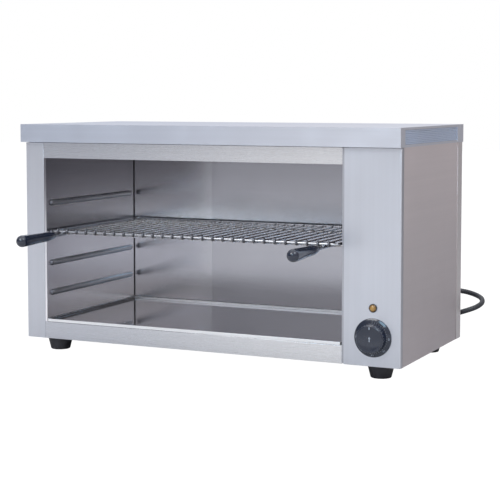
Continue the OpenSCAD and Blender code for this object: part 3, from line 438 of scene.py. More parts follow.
phenolic = moulded("black_phenolic", (0.007, 0.012, 0.028), 0.13, 900.0, 0.10, 0.05, 0.55)
matt_black = moulded("matt_black_plastic", (0.022, 0.022, 0.024), 0.45, 1600.0, 0.3, 0.06)
foot_rubber = moulded("foot_rubber", (0.020, 0.019, 0.024), 0.5, 1100.0, 0.4, 0.10)
cord_rubber = moulded("cord_rubber", (0.022, 0.024, 0.030), 0.40, 1300.0, 0.3, 0.08)
ceramic = moulded("steatite", (0.78, 0.76, 0.70), 0.5, 1200.0, 0.25, 0.15)
sleeving = moulded("glass_sleeving", (0.72, 0.70, 0.62), 0.7, 2200.0, 0.6, 0.2)
print_white = moulded("printed_white", (0.30, 0.33, 0.38), 0.5, 1500.0, 0.1, 0.1)

# %% Ceramic wool
# Loose white fibre: a soft bump at two sizes and no gloss
wool, tree, shader, place = new_material("ceramic_wool", (0.8, 0.79, 0.75), 0.95)
fibres = calc(tree, "ADD", noise(tree, place, 60.0, 4.0, 0.6),
              noise(tree, place, 700.0, 3.0, 0.7))
fill(tree, shader, {
    "Base Color": mixed(tree, fibres, (0.62, 0.61, 0.57), (0.84, 0.83, 0.80)),
    "Normal": bump(tree, fibres, 0.8, 0.002)})

# %% [markdown]
# The lamp's lens is clear amber plastic. It's unlit and sits over a dark socket, so it
# looks brown at its rim and gold where it is thin. A little transmission, a warm base
# and a clear coat give that without a light inside.

# %% Amber lens
GOLD_TO, BROWN_FROM = 2.2 * MM, 6.2 * MM
amber, tree, shader, place = new_material("amber_lens", (0.55, 0.29, 0.05), 0.12)
lens_low, lens_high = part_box("indicator_lens")
centred = add(tree, "ShaderNodeMapping",
              {"Vector": place, "Location": -(lens_low + lens_high) / 2})[0]
flat = add(tree, "ShaderNodeVectorMath", {0: centred, 1: (1, 0, 1)},
           operation="MULTIPLY")[0]
from_centre = add(tree, "ShaderNodeVectorMath", {0: flat}, operation="LENGTH")["Value"]
rim = ramp(tree, from_centre, GOLD_TO, BROWN_FROM, "LINEAR")
fill(tree, shader, {
    "Transmission Weight": 0.35, "IOR": 1.49, "Coat Weight": 0.5,
    "Base Color": mixed(tree, rim, (0.60, 0.33, 0.07), (0.16, 0.07, 0.02))})

# %% [markdown]
# ## Dress the solids
#
# Each solid belongs to a material slot of the object's record, so most of them get
# their finish by slot. The sheets with a tone or a grain of their own are named one by
# one.

# %% Give every solid its finish
FINISH_OF_SLOT = {
    "stainless": satin_x, "bright_steel": polished, "plain_steel": dull_sheet,
    "vent_mesh": vent_steel, "rack_chrome": chrome, "element_sheath": sheath,
    "ceramic_wool": wool, "brass_fittings": brass, "copper": copper,
    "ceramic_body": ceramic, "wire_insulation": sleeving, "black_plastic": phenolic,
    "matte_black": matt_black, "amber_lens": amber, "cord_rubber": cord_rubber,
    "foot_rubber": foot_rubber, "screw_steel": screw_steel}
FINISH_OF_NODE = {
    "left_side_panel": side_sheet, "right_side_panel": side_sheet,
    "rear_panel": rear_sheet, "left_stile": satin_z, "control_fascia": satin_z,
    "top_cover": cover_sheet, "header_rail": rail_sheet, "sill_rail": rail_sheet,
    "drip_tray": tray_steel, "cavity_wall_left": liner_side,
    "cavity_wall_right": liner_side, "cavity_back": liner, "rack_wires": wire_chrome}
slot_of = {part["node"]: part["material_slot"] for part in frame["record"]["subparts"]}
finish_of = {name: FINISH_OF_NODE.get(name, FINISH_OF_SLOT[slot_of[name]])
             for name in nodes}
body_of = {name: body for body, names in frame["record"]["behaviour"]["bodies"].items()
           for name in names}
for name, solid in nodes.items():
    solid.data.materials.clear()
    solid.data.materials.append(finish_of[name])

# %% [markdown]
# ## Pieces that stand for a solid
#
# A finished piece is a plain mesh at the origin. It rides with a body, that of its solid
# where it stands for one. These helpers see to that, and turn whatever modifiers a piece
# still has into mesh first.

# %% Helpers for pieces
def plain_mesh(piece):
    """The mesh of a piece as its modifiers leave it."""
    bpy.context.view_layer.update()
    return bpy.data.meshes.new_from_object(
        piece.evaluated_get(bpy.context.evaluated_depsgraph_get()))


def made_solid(piece):
    """Turns the piece's modifiers into plain mesh."""
    mesh = plain_mesh(piece)
    piece.modifiers.clear()
    piece.data = mesh


def dressed(piece, finish, body):
    """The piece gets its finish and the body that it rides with."""
    piece.data.materials.clear()
    piece.data.materials.append(finish)
    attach(piece, body)


def stand_in(piece, name):
    """The piece is dressed and shows in place of a solid."""
    dressed(piece, finish_of[name], body_of[name])
    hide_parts(name)


def smooth(mesh, corner=32, large=2.5e-4):
    """Smooth shading, but sharp at corners over the angle and round large flat faces.

    A face over large (m2) keeps its own direction, so it reflects as flat sheet does."""
    mesh.shade_smooth()
    shell = bmesh.new()
    shell.from_mesh(mesh)
    for edge in shell.edges:
        if len(edge.link_faces) != 2:
            continue
        angle = degrees(edge.calc_face_angle(0))
        next_to_large = max(face.calc_area() for face in edge.link_faces) > large
        edge.smooth = angle <= corner and not (next_to_large and angle > 0.5)
    shell.to_mesh(mesh)
    shell.free()


def closed_copy(name):
    """A solid's mesh with its loose triangles joined and its flat faces whole.

    It is written out afresh, so that it keeps no stored normals of the triangles."""
    shell = bmesh.new()
    shell.from_mesh(nodes[name].data)
    bmesh.ops.remove_doubles(shell, verts=shell.verts, dist=2e-6)
    bmesh.ops.dissolve_limit(shell, angle_limit=radians(0.5), verts=shell.verts,
                             edges=shell.edges)
    shell.verts.index_update()
    mesh = bpy.data.meshes.new(name)
    mesh.from_pydata([vert.co.copy() for vert in shell.verts], [],
                     [[vert.index for vert in face.verts] for face in shell.faces])
    shell.free()
    return mesh


def circle(shell, radius, height, steps, moved_in=None):
    """A ring of points about Z, or one point for no radius. moved_in shapes it."""
    ring = []
    for i in range(steps if radius else 1):
        angle = 2 * pi * i / steps
        reach = radius - (moved_in(angle) if moved_in else 0)
        ring.append(shell.verts.new((reach * cos(angle), reach * sin(angle), height)))
    return ring


def loft(shell, rings, closed=False):
    """Faces from each ring to the next, and from the last to the first if closed."""
    for low, high in zip(rings, rings[1:] + rings[:closed]):
        count = max(len(low), len(high))
        for i in range(count):
            j = (i + 1) % count
            corners = (low[i % len(low)], low[j % len(low)], high[j % len(high)],
                       high[i % len(high)])
            shell.faces.new(list(dict.fromkeys(corners)))


def mesh_of(shell, name):
    """The mesh of a finished shell, with its faces turned outwards."""
    bmesh.ops.recalc_face_normals(shell, faces=shell.faces)
    mesh = bpy.data.meshes.new(name)
    shell.to_mesh(mesh)
    shell.free()
    return mesh


# %% [markdown]
# ## Rolled sheet edges
#
# Sheet that is cut and folded never has a knife edge: the fold is rounded and the cut
# edge is brushed, so it catches a thin line of light. A Bevel modifier on a joined copy
# of each sheet does this, and touches only sharp corners. The tray's sheet is thinner,
# so its folds are smaller: two folds have to leave a flat strip between them. The
# front's sheets leave a narrow shadow gap under the cover, and the rails end in a step
# at the fascia.

# %% Roll the edges of the sheets
FOLD, THIN_FOLD, CORNER_R, FOLD_STEPS, CORNER_STEPS = 0.45 * MM, 0.25 * MM, 2.2 * MM, 2, 4
SHARP = radians(40)
SHADOW_GAP, STEP_W, NEAR = 1.2 * MM, 4 * MM, 0.1 * MM
frame_low, frame_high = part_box("control_fascia")
step_left, step_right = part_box("cavity_wall_right")[1].x - STEP_W, frame_low.x
SHEETS = ["top_cover", "left_side_panel", "right_side_panel", "rear_panel", "left_stile",
          "header_rail", "sill_rail", "control_fascia", "drip_tray", "base_pan"]


def trimmed(name, mesh):
    """Trims the front's sheets for the gap under the cover and the fascia's step."""
    for vert in mesh.vertices:
        if name in ("left_stile", "header_rail", "control_fascia"):
            if vert.co.z > frame_high.z - 1.1 * MM:
                vert.co.z -= SHADOW_GAP
        if name in ("header_rail", "sill_rail") and vert.co.x > step_right - NEAR:
            vert.co.x = step_left + 0.3 * MM


def rounded_corner(mesh):
    """Rounds the fascia's upright corner, where the sheet goes round to the side."""
    shell = bmesh.new()
    shell.from_mesh(mesh)
    corner = [edge for edge in shell.edges
              if all(vert.co.x > frame_high.x - NEAR / 2
                     and vert.co.y < frame_low.y + 1.55 * MM for vert in edge.verts)
              and abs(edge.verts[0].co.z - edge.verts[1].co.z) > 100 * MM]
    bmesh.ops.bevel(shell, geom=corner, offset=CORNER_R, offset_type="OFFSET",
                    segments=CORNER_STEPS, profile=0.5, affect="EDGES",
                    clamp_overlap=False)
    shell.to_mesh(mesh)
    shell.free()


for name in SHEETS:
    piece = new_object(name + "_rolled", closed_copy(name))
    trimmed(name, piece.data)
    if name == "control_fascia":
        rounded_corner(piece.data)
    rolled = piece.modifiers.new("rolled edge", "BEVEL")
    rolled.width = THIN_FOLD if name == "drip_tray" else FOLD
    rolled.segments = FOLD_STEPS
    rolled.limit_method = "ANGLE"
    rolled.angle_limit = SHARP
    rolled.use_clamp_overlap = True
    made_solid(piece)
    smooth(piece.data, 50)
    stand_in(piece, name)

# %% [markdown]
# Four places have a finish of their own, and each is painted light or shade. The
# fascia's fold round the corner has a darker steel: painted shade. The tray's rear fold
# and its rim have a brighter steel: painted highlights. Where the rails end short of the
# fascia, a dark strip of the darker steel fills the step: painted shade. A dark strip in
# the upright joint of the back sheet and the left wall is a painted shadow.

# %% Finish the folds and the tray's rim
def repaint(name, finish, chosen):
    """Gives the chosen faces of a piece one more finish, and says how many."""
    mesh = bpy.data.objects[name].data
    mesh.materials.append(finish)
    faces = [face for face in mesh.polygons if chosen(face)]
    for face in faces:
        face.material_index = len(mesh.materials) - 1
    print(name, len(faces), "faces in", finish.name)


tray_low, tray_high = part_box("drip_tray")
# Painted shade: the fascia's fold round the corner
repaint("control_fascia_rolled", shaded_fold_steel,
        lambda face: face.normal.x > 0.9 and face.center.x > frame_high.x - 0.2 * MM)
# Painted highlight: the tray's rear fold
repaint("drip_tray_rolled", painted_highlight_fold,
        lambda face: face.normal.y < -0.5 and face.center.y > tray_high.y - 1.5 * MM
        and face.center.z > tray_low.z + 1.2 * MM)
# Painted highlight: the tray's rim and the front face of its lip
repaint("drip_tray_rolled", painted_highlight_rim,
        lambda face: face.center.z > tray_high.z - 0.35 * MM
        or (face.normal.y < -0.5 and face.center.y < tray_low.y + 0.3 * MM))


def box_piece(name, low, high, finish):
    """A plain box that rides with the cabinet."""
    low, high = Vector(low), Vector(high)
    shell = bmesh.new()
    bmesh.ops.create_cube(shell, size=1,
                          matrix=Matrix.LocRotScale((low + high) / 2, None, high - low))
    dressed(new_object(name, mesh_of(shell, name)), finish, "body")


front_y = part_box("sill_rail")[0].y
back_low, back_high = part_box("cavity_back")
wall_face_x = back_low.x + 1 * MM
# Painted shade: a dark strip fills the step where the rails end short of the fascia
box_piece("stepped_edge",
          (step_left + 0.1 * MM, front_y + 0.65 * MM, frame_low.z + 1 * MM),
          (step_right - 0.05 * MM, front_y + 0.95 * MM, frame_high.z - 2 * MM),
          shaded_fold_steel)
# Painted shadow: a dark strip in the upright joint of the back sheet and the left wall
box_piece("corner_seal",
          (wall_face_x - 0.2 * MM, back_low.y - 0.6 * MM, tray_high.z + 0.7 * MM),
          (wall_face_x + 1.5 * MM, back_low.y + 0.2 * MM, back_high.z - 1 * MM),
          matt_black)

# %% [markdown]
# ## Round parts
#
# Rods, screws and turned parts come with flat facets. A joined copy with smooth
# shading is enough for them. The pressed runners of the walls get their own finish, and
# their front ends a much darker one: painted shade.

# %% Smooth the round parts
ROUND = ["rack_frame", "rack_wires", "handle_shanks", "left_grip", "right_grip",
         "heating_element_front", "heating_element_middle", "heating_element_rear",
         "cavity_wall_left", "cavity_wall_right", "foot_front_left", "foot_front_right",
         "foot_rear_left", "foot_rear_right", "cable_gland", "strain_relief",
         "plug_pins"]
RAISED, END_FACING = 0.05 * MM, -0.25
for name in ROUND:
    piece = new_object(name + "_smooth", closed_copy(name))
    smooth(piece.data)
    stand_in(piece, name)

for name, wall_x, inwards in (("cavity_wall_left", wall_face_x, 1),
                              ("cavity_wall_right", step_left, -1)):
    repaint(name + "_smooth", rib_steel,
            lambda face: (face.center.x - wall_x) * inwards > RAISED)
    # Painted shade: the runners' front ends
    repaint(name + "_smooth", shaded_rib_end,
            lambda face: (face.center.x - wall_x) * inwards > RAISED
            and face.normal.y < END_FACING)

# %% [markdown]
# ## The rack's hooked wires
#
# Each wire of the rack comes from below, is bent up round the front rod and ends on top
# of it. One hook is modelled, and Geometry Nodes put it on every wire.

# %% Find the wires' front ends
WIRES_APART = 3 * MM
wires_mesh = bpy.data.objects["rack_wires_smooth"].data
wire_verts = [vert.co.copy() for vert in wires_mesh.vertices]
wires_front = min(co.y for co in wire_verts)
ends = []
for co in sorted((co for co in wire_verts if co.y < wires_front + 0.02 * MM),
                 key=lambda co: co.x):
    if not ends or co.x - ends[-1][-1] > WIRES_APART:
        ends.append([])
    ends[-1].append(co.x)
wire_r = (ends[0][-1] - ends[0][0]) / 2
rack_low, rack_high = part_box("rack_frame")
rod_r = (rack_high.z - rack_low.z) / 2
hooks_at = [((end[0] + end[-1]) / 2, rack_low.y + rod_r, (rack_low.z + rack_high.z) / 2)
            for end in ends]
print("%d wires of %.2f mm on a rod of %.2f mm" % (len(ends), wire_r / MM, rod_r / MM))

# %% Bend a hook
HOOK_FROM, HOOK_TO, HOOK_SINK = 272, 105, 0.3 * MM


def hook(bend_r, start, stop, steps=9, sides=10):
    """A wire bent round the X axis, from one angle to another in degrees."""
    shell = bmesh.new()
    rings = []
    for k in range(steps + 1):
        a = radians(start + (stop - start) * k / steps)
        out = Vector((0, cos(a), sin(a)))
        turns = [2 * pi * i / sides for i in range(sides)]
        rings.append([shell.verts.new(out * (bend_r + wire_r * cos(b))
                                      + Vector((wire_r * sin(b), 0, 0)))
                      for b in turns])
    loft(shell, rings)
    shell.faces.new(rings[0])
    shell.faces.new(rings[-1])
    mesh = mesh_of(shell, "hook")
    smooth(mesh, 50)
    return mesh


hook_master = new_object("hook_master",
                         hook(rod_r + wire_r - HOOK_SINK, HOOK_FROM, HOOK_TO))

# %% [markdown]
# ## The perforated vents
#
# The sides of the cover are closed by perforated sheet, and its holes are real. One
# cell, a hexagon with a round hole, is put on a staggered grid by Geometry Nodes,
# joined, and given its thickness.

# %% One cell of the perforated sheet
VENT_PITCH, VENT_HOLE_R, VENT_SHEET = 3.3 * MM, 1.05 * MM, 0.7 * MM
ROW_SHARE = sqrt(3) / 2
SIDES = 12


def holed_cell(pitch, hole_r):
    """A flat hexagon with a 12-sided hole, its corners and edge middles in one ring."""
    mesh = bpy.data.meshes.new("cell")
    outer, inner = [], []
    for i in range(SIDES):
        angle = 2 * pi * i / SIDES
        reach = pitch / 2 if i % 2 == 0 else pitch / sqrt(3)
        outer.append((reach * cos(angle), reach * sin(angle), 0))
        inner.append((hole_r * cos(angle), hole_r * sin(angle), 0))
    mesh.from_pydata(outer + inner, [], [
        (i, (i + 1) % SIDES, SIDES + (i + 1) % SIDES, SIDES + i) for i in range(SIDES)])
    return mesh


# %% A tree that repeats the cell and thickens it
GEOMETRY = {"Geometry": "Geometry"}
WELD = 0.02 * MM


def copied(tree, part, points, turn=(0, 0, 0)):
    """Real copies of a part at each point, turned by Euler angles."""
    rotation = add(tree, "FunctionNodeEulerToRotation", {0: turn})[0]
    copies = add(tree, "GeometryNodeInstanceOnPoints",
                 {"Points": points, "Instance": part, "Rotation": rotation})[0]
    return add(tree, "GeometryNodeRealizeInstances", {0: copies})[0]


def with_tree(piece, tree, **values):
    """Adds the tree as a modifier, sets its named inputs and makes it plain mesh."""
    modifier = piece.modifiers.new(tree.name, "NODES")
    modifier.node_group = tree
    for item in tree.interface.items_tree:
        if item.in_out == "INPUT" and item.name in values:
            modifier[item.identifier] = values[item.name]
    made_solid(piece)


def welded(tree, parts):
    return add(tree, "GeometryNodeMergeByDistance",
               {"Geometry": parts, "Distance": WELD})[0]


perforate, given = new_group(
    "Geometry", "Perforated sheet",
    {**GEOMETRY, "Columns": "Int", "Rows": "Int", "Pitch": "Float", "Thickness": "Float"},
    GEOMETRY)
node, number = partial(add, perforate), partial(calc, perforate)
pitch = given["Pitch"]
row_pitch = number("MULTIPLY", pitch, ROW_SHARE)
width, height = [number("MULTIPLY", number("SUBTRACT", given[count], 1), apart)
                 for count, apart in (("Columns", pitch), ("Rows", row_pitch))]
grid = node("GeometryNodeMeshGrid",
            {"Vertices X": given["Columns"], "Vertices Y": given["Rows"],
             "Size X": width, "Size Y": height})["Mesh"]
spot = node("ShaderNodeSeparateXYZ", {0: node("GeometryNodeInputPosition")[0]})
from_foot = number("MULTIPLY_ADD", height, 0.5, spot["Y"])
odd_row = number("MODULO", number("ROUND", number("DIVIDE", from_foot, row_pitch)), 2.0)
stagger = number("MULTIPLY", number("MULTIPLY", odd_row, 0.5), pitch)
shift = node("ShaderNodeCombineXYZ", {"X": stagger})[0]
seats = node("GeometryNodeSetPosition", {"Geometry": grid, "Offset": shift})[0]
sheet = welded(perforate, copied(perforate, given["Geometry"], seats))
raised = node("GeometryNodeExtrudeMesh",
              {"Mesh": sheet, "Offset Scale": given["Thickness"], "Individual": False},
              mode="FACES")["Mesh"]
turned_over = node("GeometryNodeFlipFaces", {"Mesh": sheet})[0]
both = node("GeometryNodeJoinGeometry", {0: [turned_over, raised]})[0]
node("NodeGroupOutput", {"Geometry": welded(perforate, both)})

# %% Make the two vents
VENT_MARGIN, VENT_INSET = 2 * MM, 0.05 * MM
for name, outwards in (("vent_grille_left", -1), ("vent_grille_right", 1)):
    low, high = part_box(name)
    columns = int((high.y - low.y - VENT_MARGIN) / VENT_PITCH)
    rows = int((high.z - low.z - VENT_MARGIN) / (VENT_PITCH * ROW_SHARE))
    piece = new_object(name + "_mesh", holed_cell(VENT_PITCH, VENT_HOLE_R))
    with_tree(piece, perforate, Columns=columns, Rows=rows, Pitch=VENT_PITCH,
              Thickness=VENT_SHEET)
    # The sheet was made flat, facing up: it is stood up to face outwards
    upright = Matrix(((0, 0, outwards), (outwards, 0, 0), (0, 1, 0))).to_4x4()
    middle = (low + high) / 2
    middle.x = (high.x if outwards > 0 else low.x) - outwards * (VENT_SHEET + VENT_INSET)
    piece.data.transform(Matrix.Translation(middle) @ upright)
    stand_in(piece, name)
    print(name, columns, "by", rows, "holes,", len(piece.data.polygons), "faces")

# %% [markdown]
# ## Screw heads
#
# The panels are held by pan-head screws with a cross recess. One screw is modelled.
# Geometry Nodes then copy it to every screw hole, so all of them stay the same screw.

# %% Model one screw
HEAD_R, HEAD_H, SHANK_R, SHANK_L, SCREW_STEPS = 4 * MM, 2.4 * MM, 2 * MM, 6 * MM, 24


def cross_screw():
    """A pan head over Z=0 with a cross recess, and a plain shank below it."""
    shell = bmesh.new()
    arm, half, depth = HEAD_R * 0.52, HEAD_R * 0.16, HEAD_H * 0.55
    rings = [circle(shell, radius, z, SCREW_STEPS) for radius, z in (
        (SHANK_R, -SHANK_L), (SHANK_R, 0), (HEAD_R, 0), (HEAD_R, HEAD_H * 0.35),
        (HEAD_R * 0.94, HEAD_H * 0.62), (HEAD_R * 0.80, HEAD_H * 0.86),
        (HEAD_R * 0.62, HEAD_H))]
    loft(shell, rings)
    shell.faces.new(list(reversed(rings[0])))
    outline = [(half, half), (half, arm), (-half, arm)]
    for _ in range(3):
        outline += [(-y, x) for x, y in outline[-3:]]
    top = [shell.verts.new((x, y, HEAD_H)) for x, y in outline]
    bottom = [shell.verts.new((x * 0.8, y * 0.8, HEAD_H - depth)) for x, y in outline]
    loft(shell, [top, bottom])
    shell.faces.new(bottom)
    edges = []
    for ring in (rings[-1], top):
        for a, b in zip(ring, ring[1:] + ring[:1]):
            edges.append(shell.edges.get((a, b)) or shell.edges.new((a, b)))
    bmesh.ops.triangle_fill(shell, use_beauty=True, use_dissolve=False, edges=edges)
    mesh = mesh_of(shell, "screw")
    smooth(mesh, 35)
    return mesh


screw_master = new_object("screw_master", cross_screw())

# %% A tree that copies a part to points
scatter, given = new_group("Geometry", "Part at points",
                           {**GEOMETRY, "Part": "Object", "Turn": "Vector"}, GEOMETRY)
part = add(scatter, "GeometryNodeObjectInfo", {"Object": given["Part"]})["Geometry"]
add(scatter, "NodeGroupOutput",
    {"Geometry": copied(scatter, part, given["Geometry"], given["Turn"])})


def islands(name):
    """The box of each separate solid in a node, from its joined mesh."""
    mesh = closed_copy(name)
    shell = bmesh.new()
    shell.from_mesh(mesh)
    left, boxes = set(shell.verts), []
    while left:
        found = reached = {left.pop()}
        while reached:
            reached = {edge.other_vert(vert) for vert in reached
                       for edge in vert.link_edges} - found
            found = found | reached
        left -= found
        boxes.append([Vector([most(vert.co[k] for vert in found) for k in range(3)])
                      for most in (min, max)])
    shell.free()
    bpy.data.meshes.remove(mesh)
    return boxes


def at_points(name, part, points, turn=(0, 0, 0)):
    """A piece with a copy of the part at each point."""
    mesh = bpy.data.meshes.new(name + "_points")
    mesh.from_pydata(points, [], [])
    piece = new_object(name, mesh)
    with_tree(piece, scatter, Part=part, Turn=turn)
    return piece


# %% Put the hooks on the wires and the screws in their holes
hooks = at_points("rack_wire_hooks", hook_master, hooks_at)
# The hooks get the darker chrome: painted shade
dressed(hooks, shaded_hook_chrome, "rack")
rear_seats = [((low.x + high.x) / 2, high.y - HEAD_H, (low.z + high.z) / 2)
              for low, high in islands("rear_screws")]
base_seats = [((low.x + high.x) / 2, (low.y + high.y) / 2, low.z + HEAD_H)
              for low, high in islands("base_screws")]
for name, seats, turn in (("rear_screws", rear_seats, -90),
                          ("base_screws", base_seats, 180)):
    stand_in(at_points(name + "_heads", screw_master, seats, (radians(turn), 0, 0)), name)
bpy.data.objects.remove(hook_master)
bpy.data.objects.remove(screw_master)
print("screws:", len(rear_seats), "behind and", len(base_seats), "below")

# %% [markdown]
# ## The knob
#
# The thermostat's knob is a black moulding with a fluted skirt, a dished face and a
# white pointer. It's turned from a profile, and the points of its skirt are moved in
# and out for the flutes.

# %% Turn a profile
def turned_piece(name, place, profile, steps, corner, flute=None, fluted=(),
                 closed=False):
    """A piece from (radius, height) pairs, turned about Z and then moved to its place.

    Its profile ends on the axis, or is closed in itself and makes a ring. Some of its
    rings can have flutes."""
    shell = bmesh.new()
    loft(shell, [circle(shell, radius, height, steps, flute if k in fluted else None)
                 for k, (radius, height) in enumerate(profile)], closed)
    piece = new_object(name, mesh_of(shell, name))
    piece.data.transform(place)
    smooth(piece.data, corner)
    return piece


def facing_user(at):
    """Turns +Z of a shape to face the user, with its local Y upwards."""
    return Matrix.Translation(at) @ Matrix.Rotation(radians(90), 4, "X")


def turned_part(name):
    """Where a solid's axis meets its back face, its radius and its height."""
    low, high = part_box(name)
    return (Vector(((low.x + high.x) / 2, high.y, (low.z + high.z) / 2)),
            (high.x - low.x) / 2, high.y - low.y)


# %% Shape the knob
FLUTES, FLUTE_DEPTH, SKIRT, KNOB_STEPS = 30, 0.45 * MM, (3, 4, 5), 240
knob_at, knob_r, knob_h = turned_part("control_knob")


def knob_flute(angle):
    return FLUTE_DEPTH * (0.5 + 0.5 * cos(FLUTES * angle)) ** 2


# Each point as so much less than the knob's radius and so much below its face
knob_profile = [(0, 0), (knob_r - 0.3 * MM, 0), (knob_r, 0.4 * MM),
                (knob_r - 0.2 * MM, 2.2 * MM), (knob_r - 0.5 * MM, knob_h * 0.5)]
knob_profile += [(knob_r - less * MM, knob_h - below * MM) for less, below in (
    (0.9, 2.6), (1.3, 1.3), (2.0, 0.4), (3.2, 0), (4.6, 0.2), (7.0, 0.8))]
knob_profile += [(6.0 * MM, knob_h - 1.1 * MM), (0, knob_h - 1.1 * MM)]
stand_in(turned_piece("knob_fluted", facing_user(knob_at), knob_profile, KNOB_STEPS, 40,
                      knob_flute, SKIRT), "control_knob")

# %% [markdown]
# The pointer and the small mark in the middle of the face are filled with white paint.
# They are thin raised shapes here, so they also show in a plain mesh.

# %% Paint the pointer and the mark
PAINT = 0.12 * MM


def plate(name, outline, height, z):
    """A thin closed plate from an (x, y) outline in mm, between z and z + height."""
    shell = bmesh.new()
    low, high = [[shell.verts.new((x * MM, y * MM, level)) for x, y in outline]
                 for level in (z, z + height)]
    shell.faces.new(list(reversed(low)))
    shell.faces.new(high)
    loft(shell, [low, high])
    return mesh_of(shell, name)


pointer = [(-0.9, 15.5), (0.9, 15.5), (0.9, 20.0), (-0.9, 20.0)]
centre_mark = [(-0.7, -4.0), (0.7, -4.0), (0.7, 0.8), (2.0, 0.8), (0, 4.2), (-2.0, 0.8),
               (-0.7, 0.8)]
for name, outline, height, below in (("knob_pointer", pointer, 0.6 * MM, 0.75 * MM),
                                     ("knob_mark", centre_mark, 0.3 * MM, 1.25 * MM)):
    piece = new_object(name, plate(name, outline, height, knob_h - below))
    piece.data.transform(facing_user(knob_at))
    dressed(piece, print_white, "knob")

# %% [markdown]
# The dial is a flat cone whose edge comes down to the panel. Its scale goes clockwise
# from 0 to 300 degrees Celsius, over three quarters of a turn. The numbers are text made
# into a mesh, and the ticks between them are copied round by Geometry Nodes.

# %% Shape the dial
NUMBER_R, NUMBER_H, TICK_R = 27.3 * MM, 3.1 * MM, 24.4 * MM
CONE_R, CONE_DROP, DIAL_STEPS = 23.2 * MM, 2.1 * MM, 96
dial_at, dial_r, dial_h = turned_part("dial_bezel")


def dial_height(radius):
    """The height of the dial's face: flat under the knob and conical outside it."""
    out = max(0.0, radius - CONE_R) / (dial_r - CONE_R)
    return dial_h - CONE_DROP * out


dial_profile = [(0, 0), (dial_r - 0.3 * MM, 0), (dial_r, 0.3 * MM)]
dial_profile += [(radius, dial_height(radius) - drop) for radius, drop in (
    (dial_r, 0.5 * MM), (dial_r - 0.2 * MM, 0.15 * MM), (dial_r - 0.7 * MM, 0),
    (CONE_R, 0), (0, 0))]
stand_in(turned_piece("dial_face", facing_user(dial_at), dial_profile, DIAL_STEPS, 30),
         "dial_bezel")

# %% Print the numbers of the dial
SWEEP, TICKS = 270.0, 31
numbers = ["0", "50", "100", "150", "200", "250", "300"]


def laid_on_dial(piece):
    """Moves a flat print down onto the dial's cone, and gives it place and paint."""
    for vert in piece.data.vertices:
        vert.co.z += dial_height(hypot(vert.co.x, vert.co.y)) - dial_h
    piece.data.transform(facing_user(dial_at - Vector((0, dial_h, 0))))
    dressed(piece, print_white, "body")


printed = bmesh.new()
for i, text in enumerate(numbers):
    curve = bpy.data.curves.new("number", "FONT")
    curve.body, curve.size, curve.extrude = text, NUMBER_H, PAINT / 2
    curve.resolution_u = 3
    curve.align_x = curve.align_y = "CENTER"
    holder = new_object("number", curve)
    mesh = plain_mesh(holder)
    bpy.data.objects.remove(holder)
    # Its foot points to the dial's centre, at a clockwise angle
    clockwise = -radians(i * SWEEP / (len(numbers) - 1))
    mesh.transform(Matrix.Rotation(clockwise, 4, "Z")
                   @ Matrix.Translation((0, NUMBER_R, PAINT / 2)))
    printed.from_mesh(mesh)
    bpy.data.meshes.remove(mesh)
bmesh.ops.remove_doubles(printed, verts=printed.verts, dist=1e-7)
laid_on_dial(new_object("dial_numbers", mesh_of(printed, "numbers")))

# %% Copy the ticks round the dial
ring, given = new_group(
    "Geometry", "Ticks round a dial",
    {**GEOMETRY, "Count": "Int", "Sweep": "Float", "Radius": "Float"}, GEOMETRY)
node, number = partial(add, ring), partial(calc, ring)
row = node("GeometryNodeMeshLine", {"Count": given["Count"]}, mode="OFFSET")[0]
step_angle = number("DIVIDE", given["Sweep"], number("SUBTRACT", given["Count"], 1))
angle_now = number("MULTIPLY", node("GeometryNodeInputIndex")[0], step_angle)
tick_place = node("ShaderNodeCombineXYZ", {
    axis: number("MULTIPLY", number(wave, angle_now), given["Radius"])
    for axis, wave in (("X", "SINE"), ("Y", "COSINE"))})[0]
seats = node("GeometryNodeSetPosition", {"Geometry": row, "Position": tick_place})[0]
tick_turn = node("ShaderNodeCombineXYZ", {"Z": number("MULTIPLY", angle_now, -1.0)})[0]
node("NodeGroupOutput", {"Geometry": copied(ring, given["Geometry"], seats, tick_turn)})
tick = [(-0.18, -0.6), (0.18, -0.6), (0.18, 0.6), (-0.18, 0.6)]
scale_ticks = new_object("dial_ticks", plate("tick", tick, PAINT, 0))
with_tree(scale_ticks, ring, Count=TICKS, Sweep=radians(SWEEP), Radius=TICK_R)
laid_on_dial(scale_ticks)

# %% [markdown]
# ## The lamp
#
# The lens is a low dome with fine concentric steps, which spread the light of the
# small bulb behind it. It sits in a thin dark collar. Both are turned from profiles.

# %% Turn the lens and its collar
COLLAR_W, DOME_FROM, LENS_STEP = 1.0 * MM, 0.8 * MM, 0.12 * MM
DOME_STEPS, LENS_STEPS = 12, 48
lens_at, lens_r, lens_h = turned_part("indicator_lens")
lens_profile = [(0, 0), (lens_r - COLLAR_W, 0)]
for k in range(DOME_STEPS):
    angle = radians(90 * k / DOME_STEPS)
    height = DOME_FROM + (lens_h - DOME_FROM) * sin(angle) - LENS_STEP * (k % 2)
    lens_profile.append(((lens_r - COLLAR_W) * cos(angle), height))
lens_profile.append((0, lens_h))
stand_in(turned_piece("lamp_lens", facing_user(lens_at), lens_profile, LENS_STEPS, 25),
         "indicator_lens")

collar_profile = [(lens_r - COLLAR_W, 0), (lens_r, 0), (lens_r, 1.2 * MM),
                  (lens_r - 0.3 * MM, 1.6 * MM), (lens_r - COLLAR_W, 1.6 * MM)]
dressed(turned_piece("lamp_collar", facing_user(lens_at), collar_profile, LENS_STEPS, 35,
                     closed=True), matt_black, "body")

# %% [markdown]
# ## The mains cord
#
# The cord leaves its gland straight, bends down in a loop at the side, runs along the
# surface behind the cabinet and is wound into a coil: two turns side by side and one on
# top. It ends in its plug. The radius and the height of the coil change only while the
# cord crosses from one turn to the next, a full diameter away from the turn beside it.

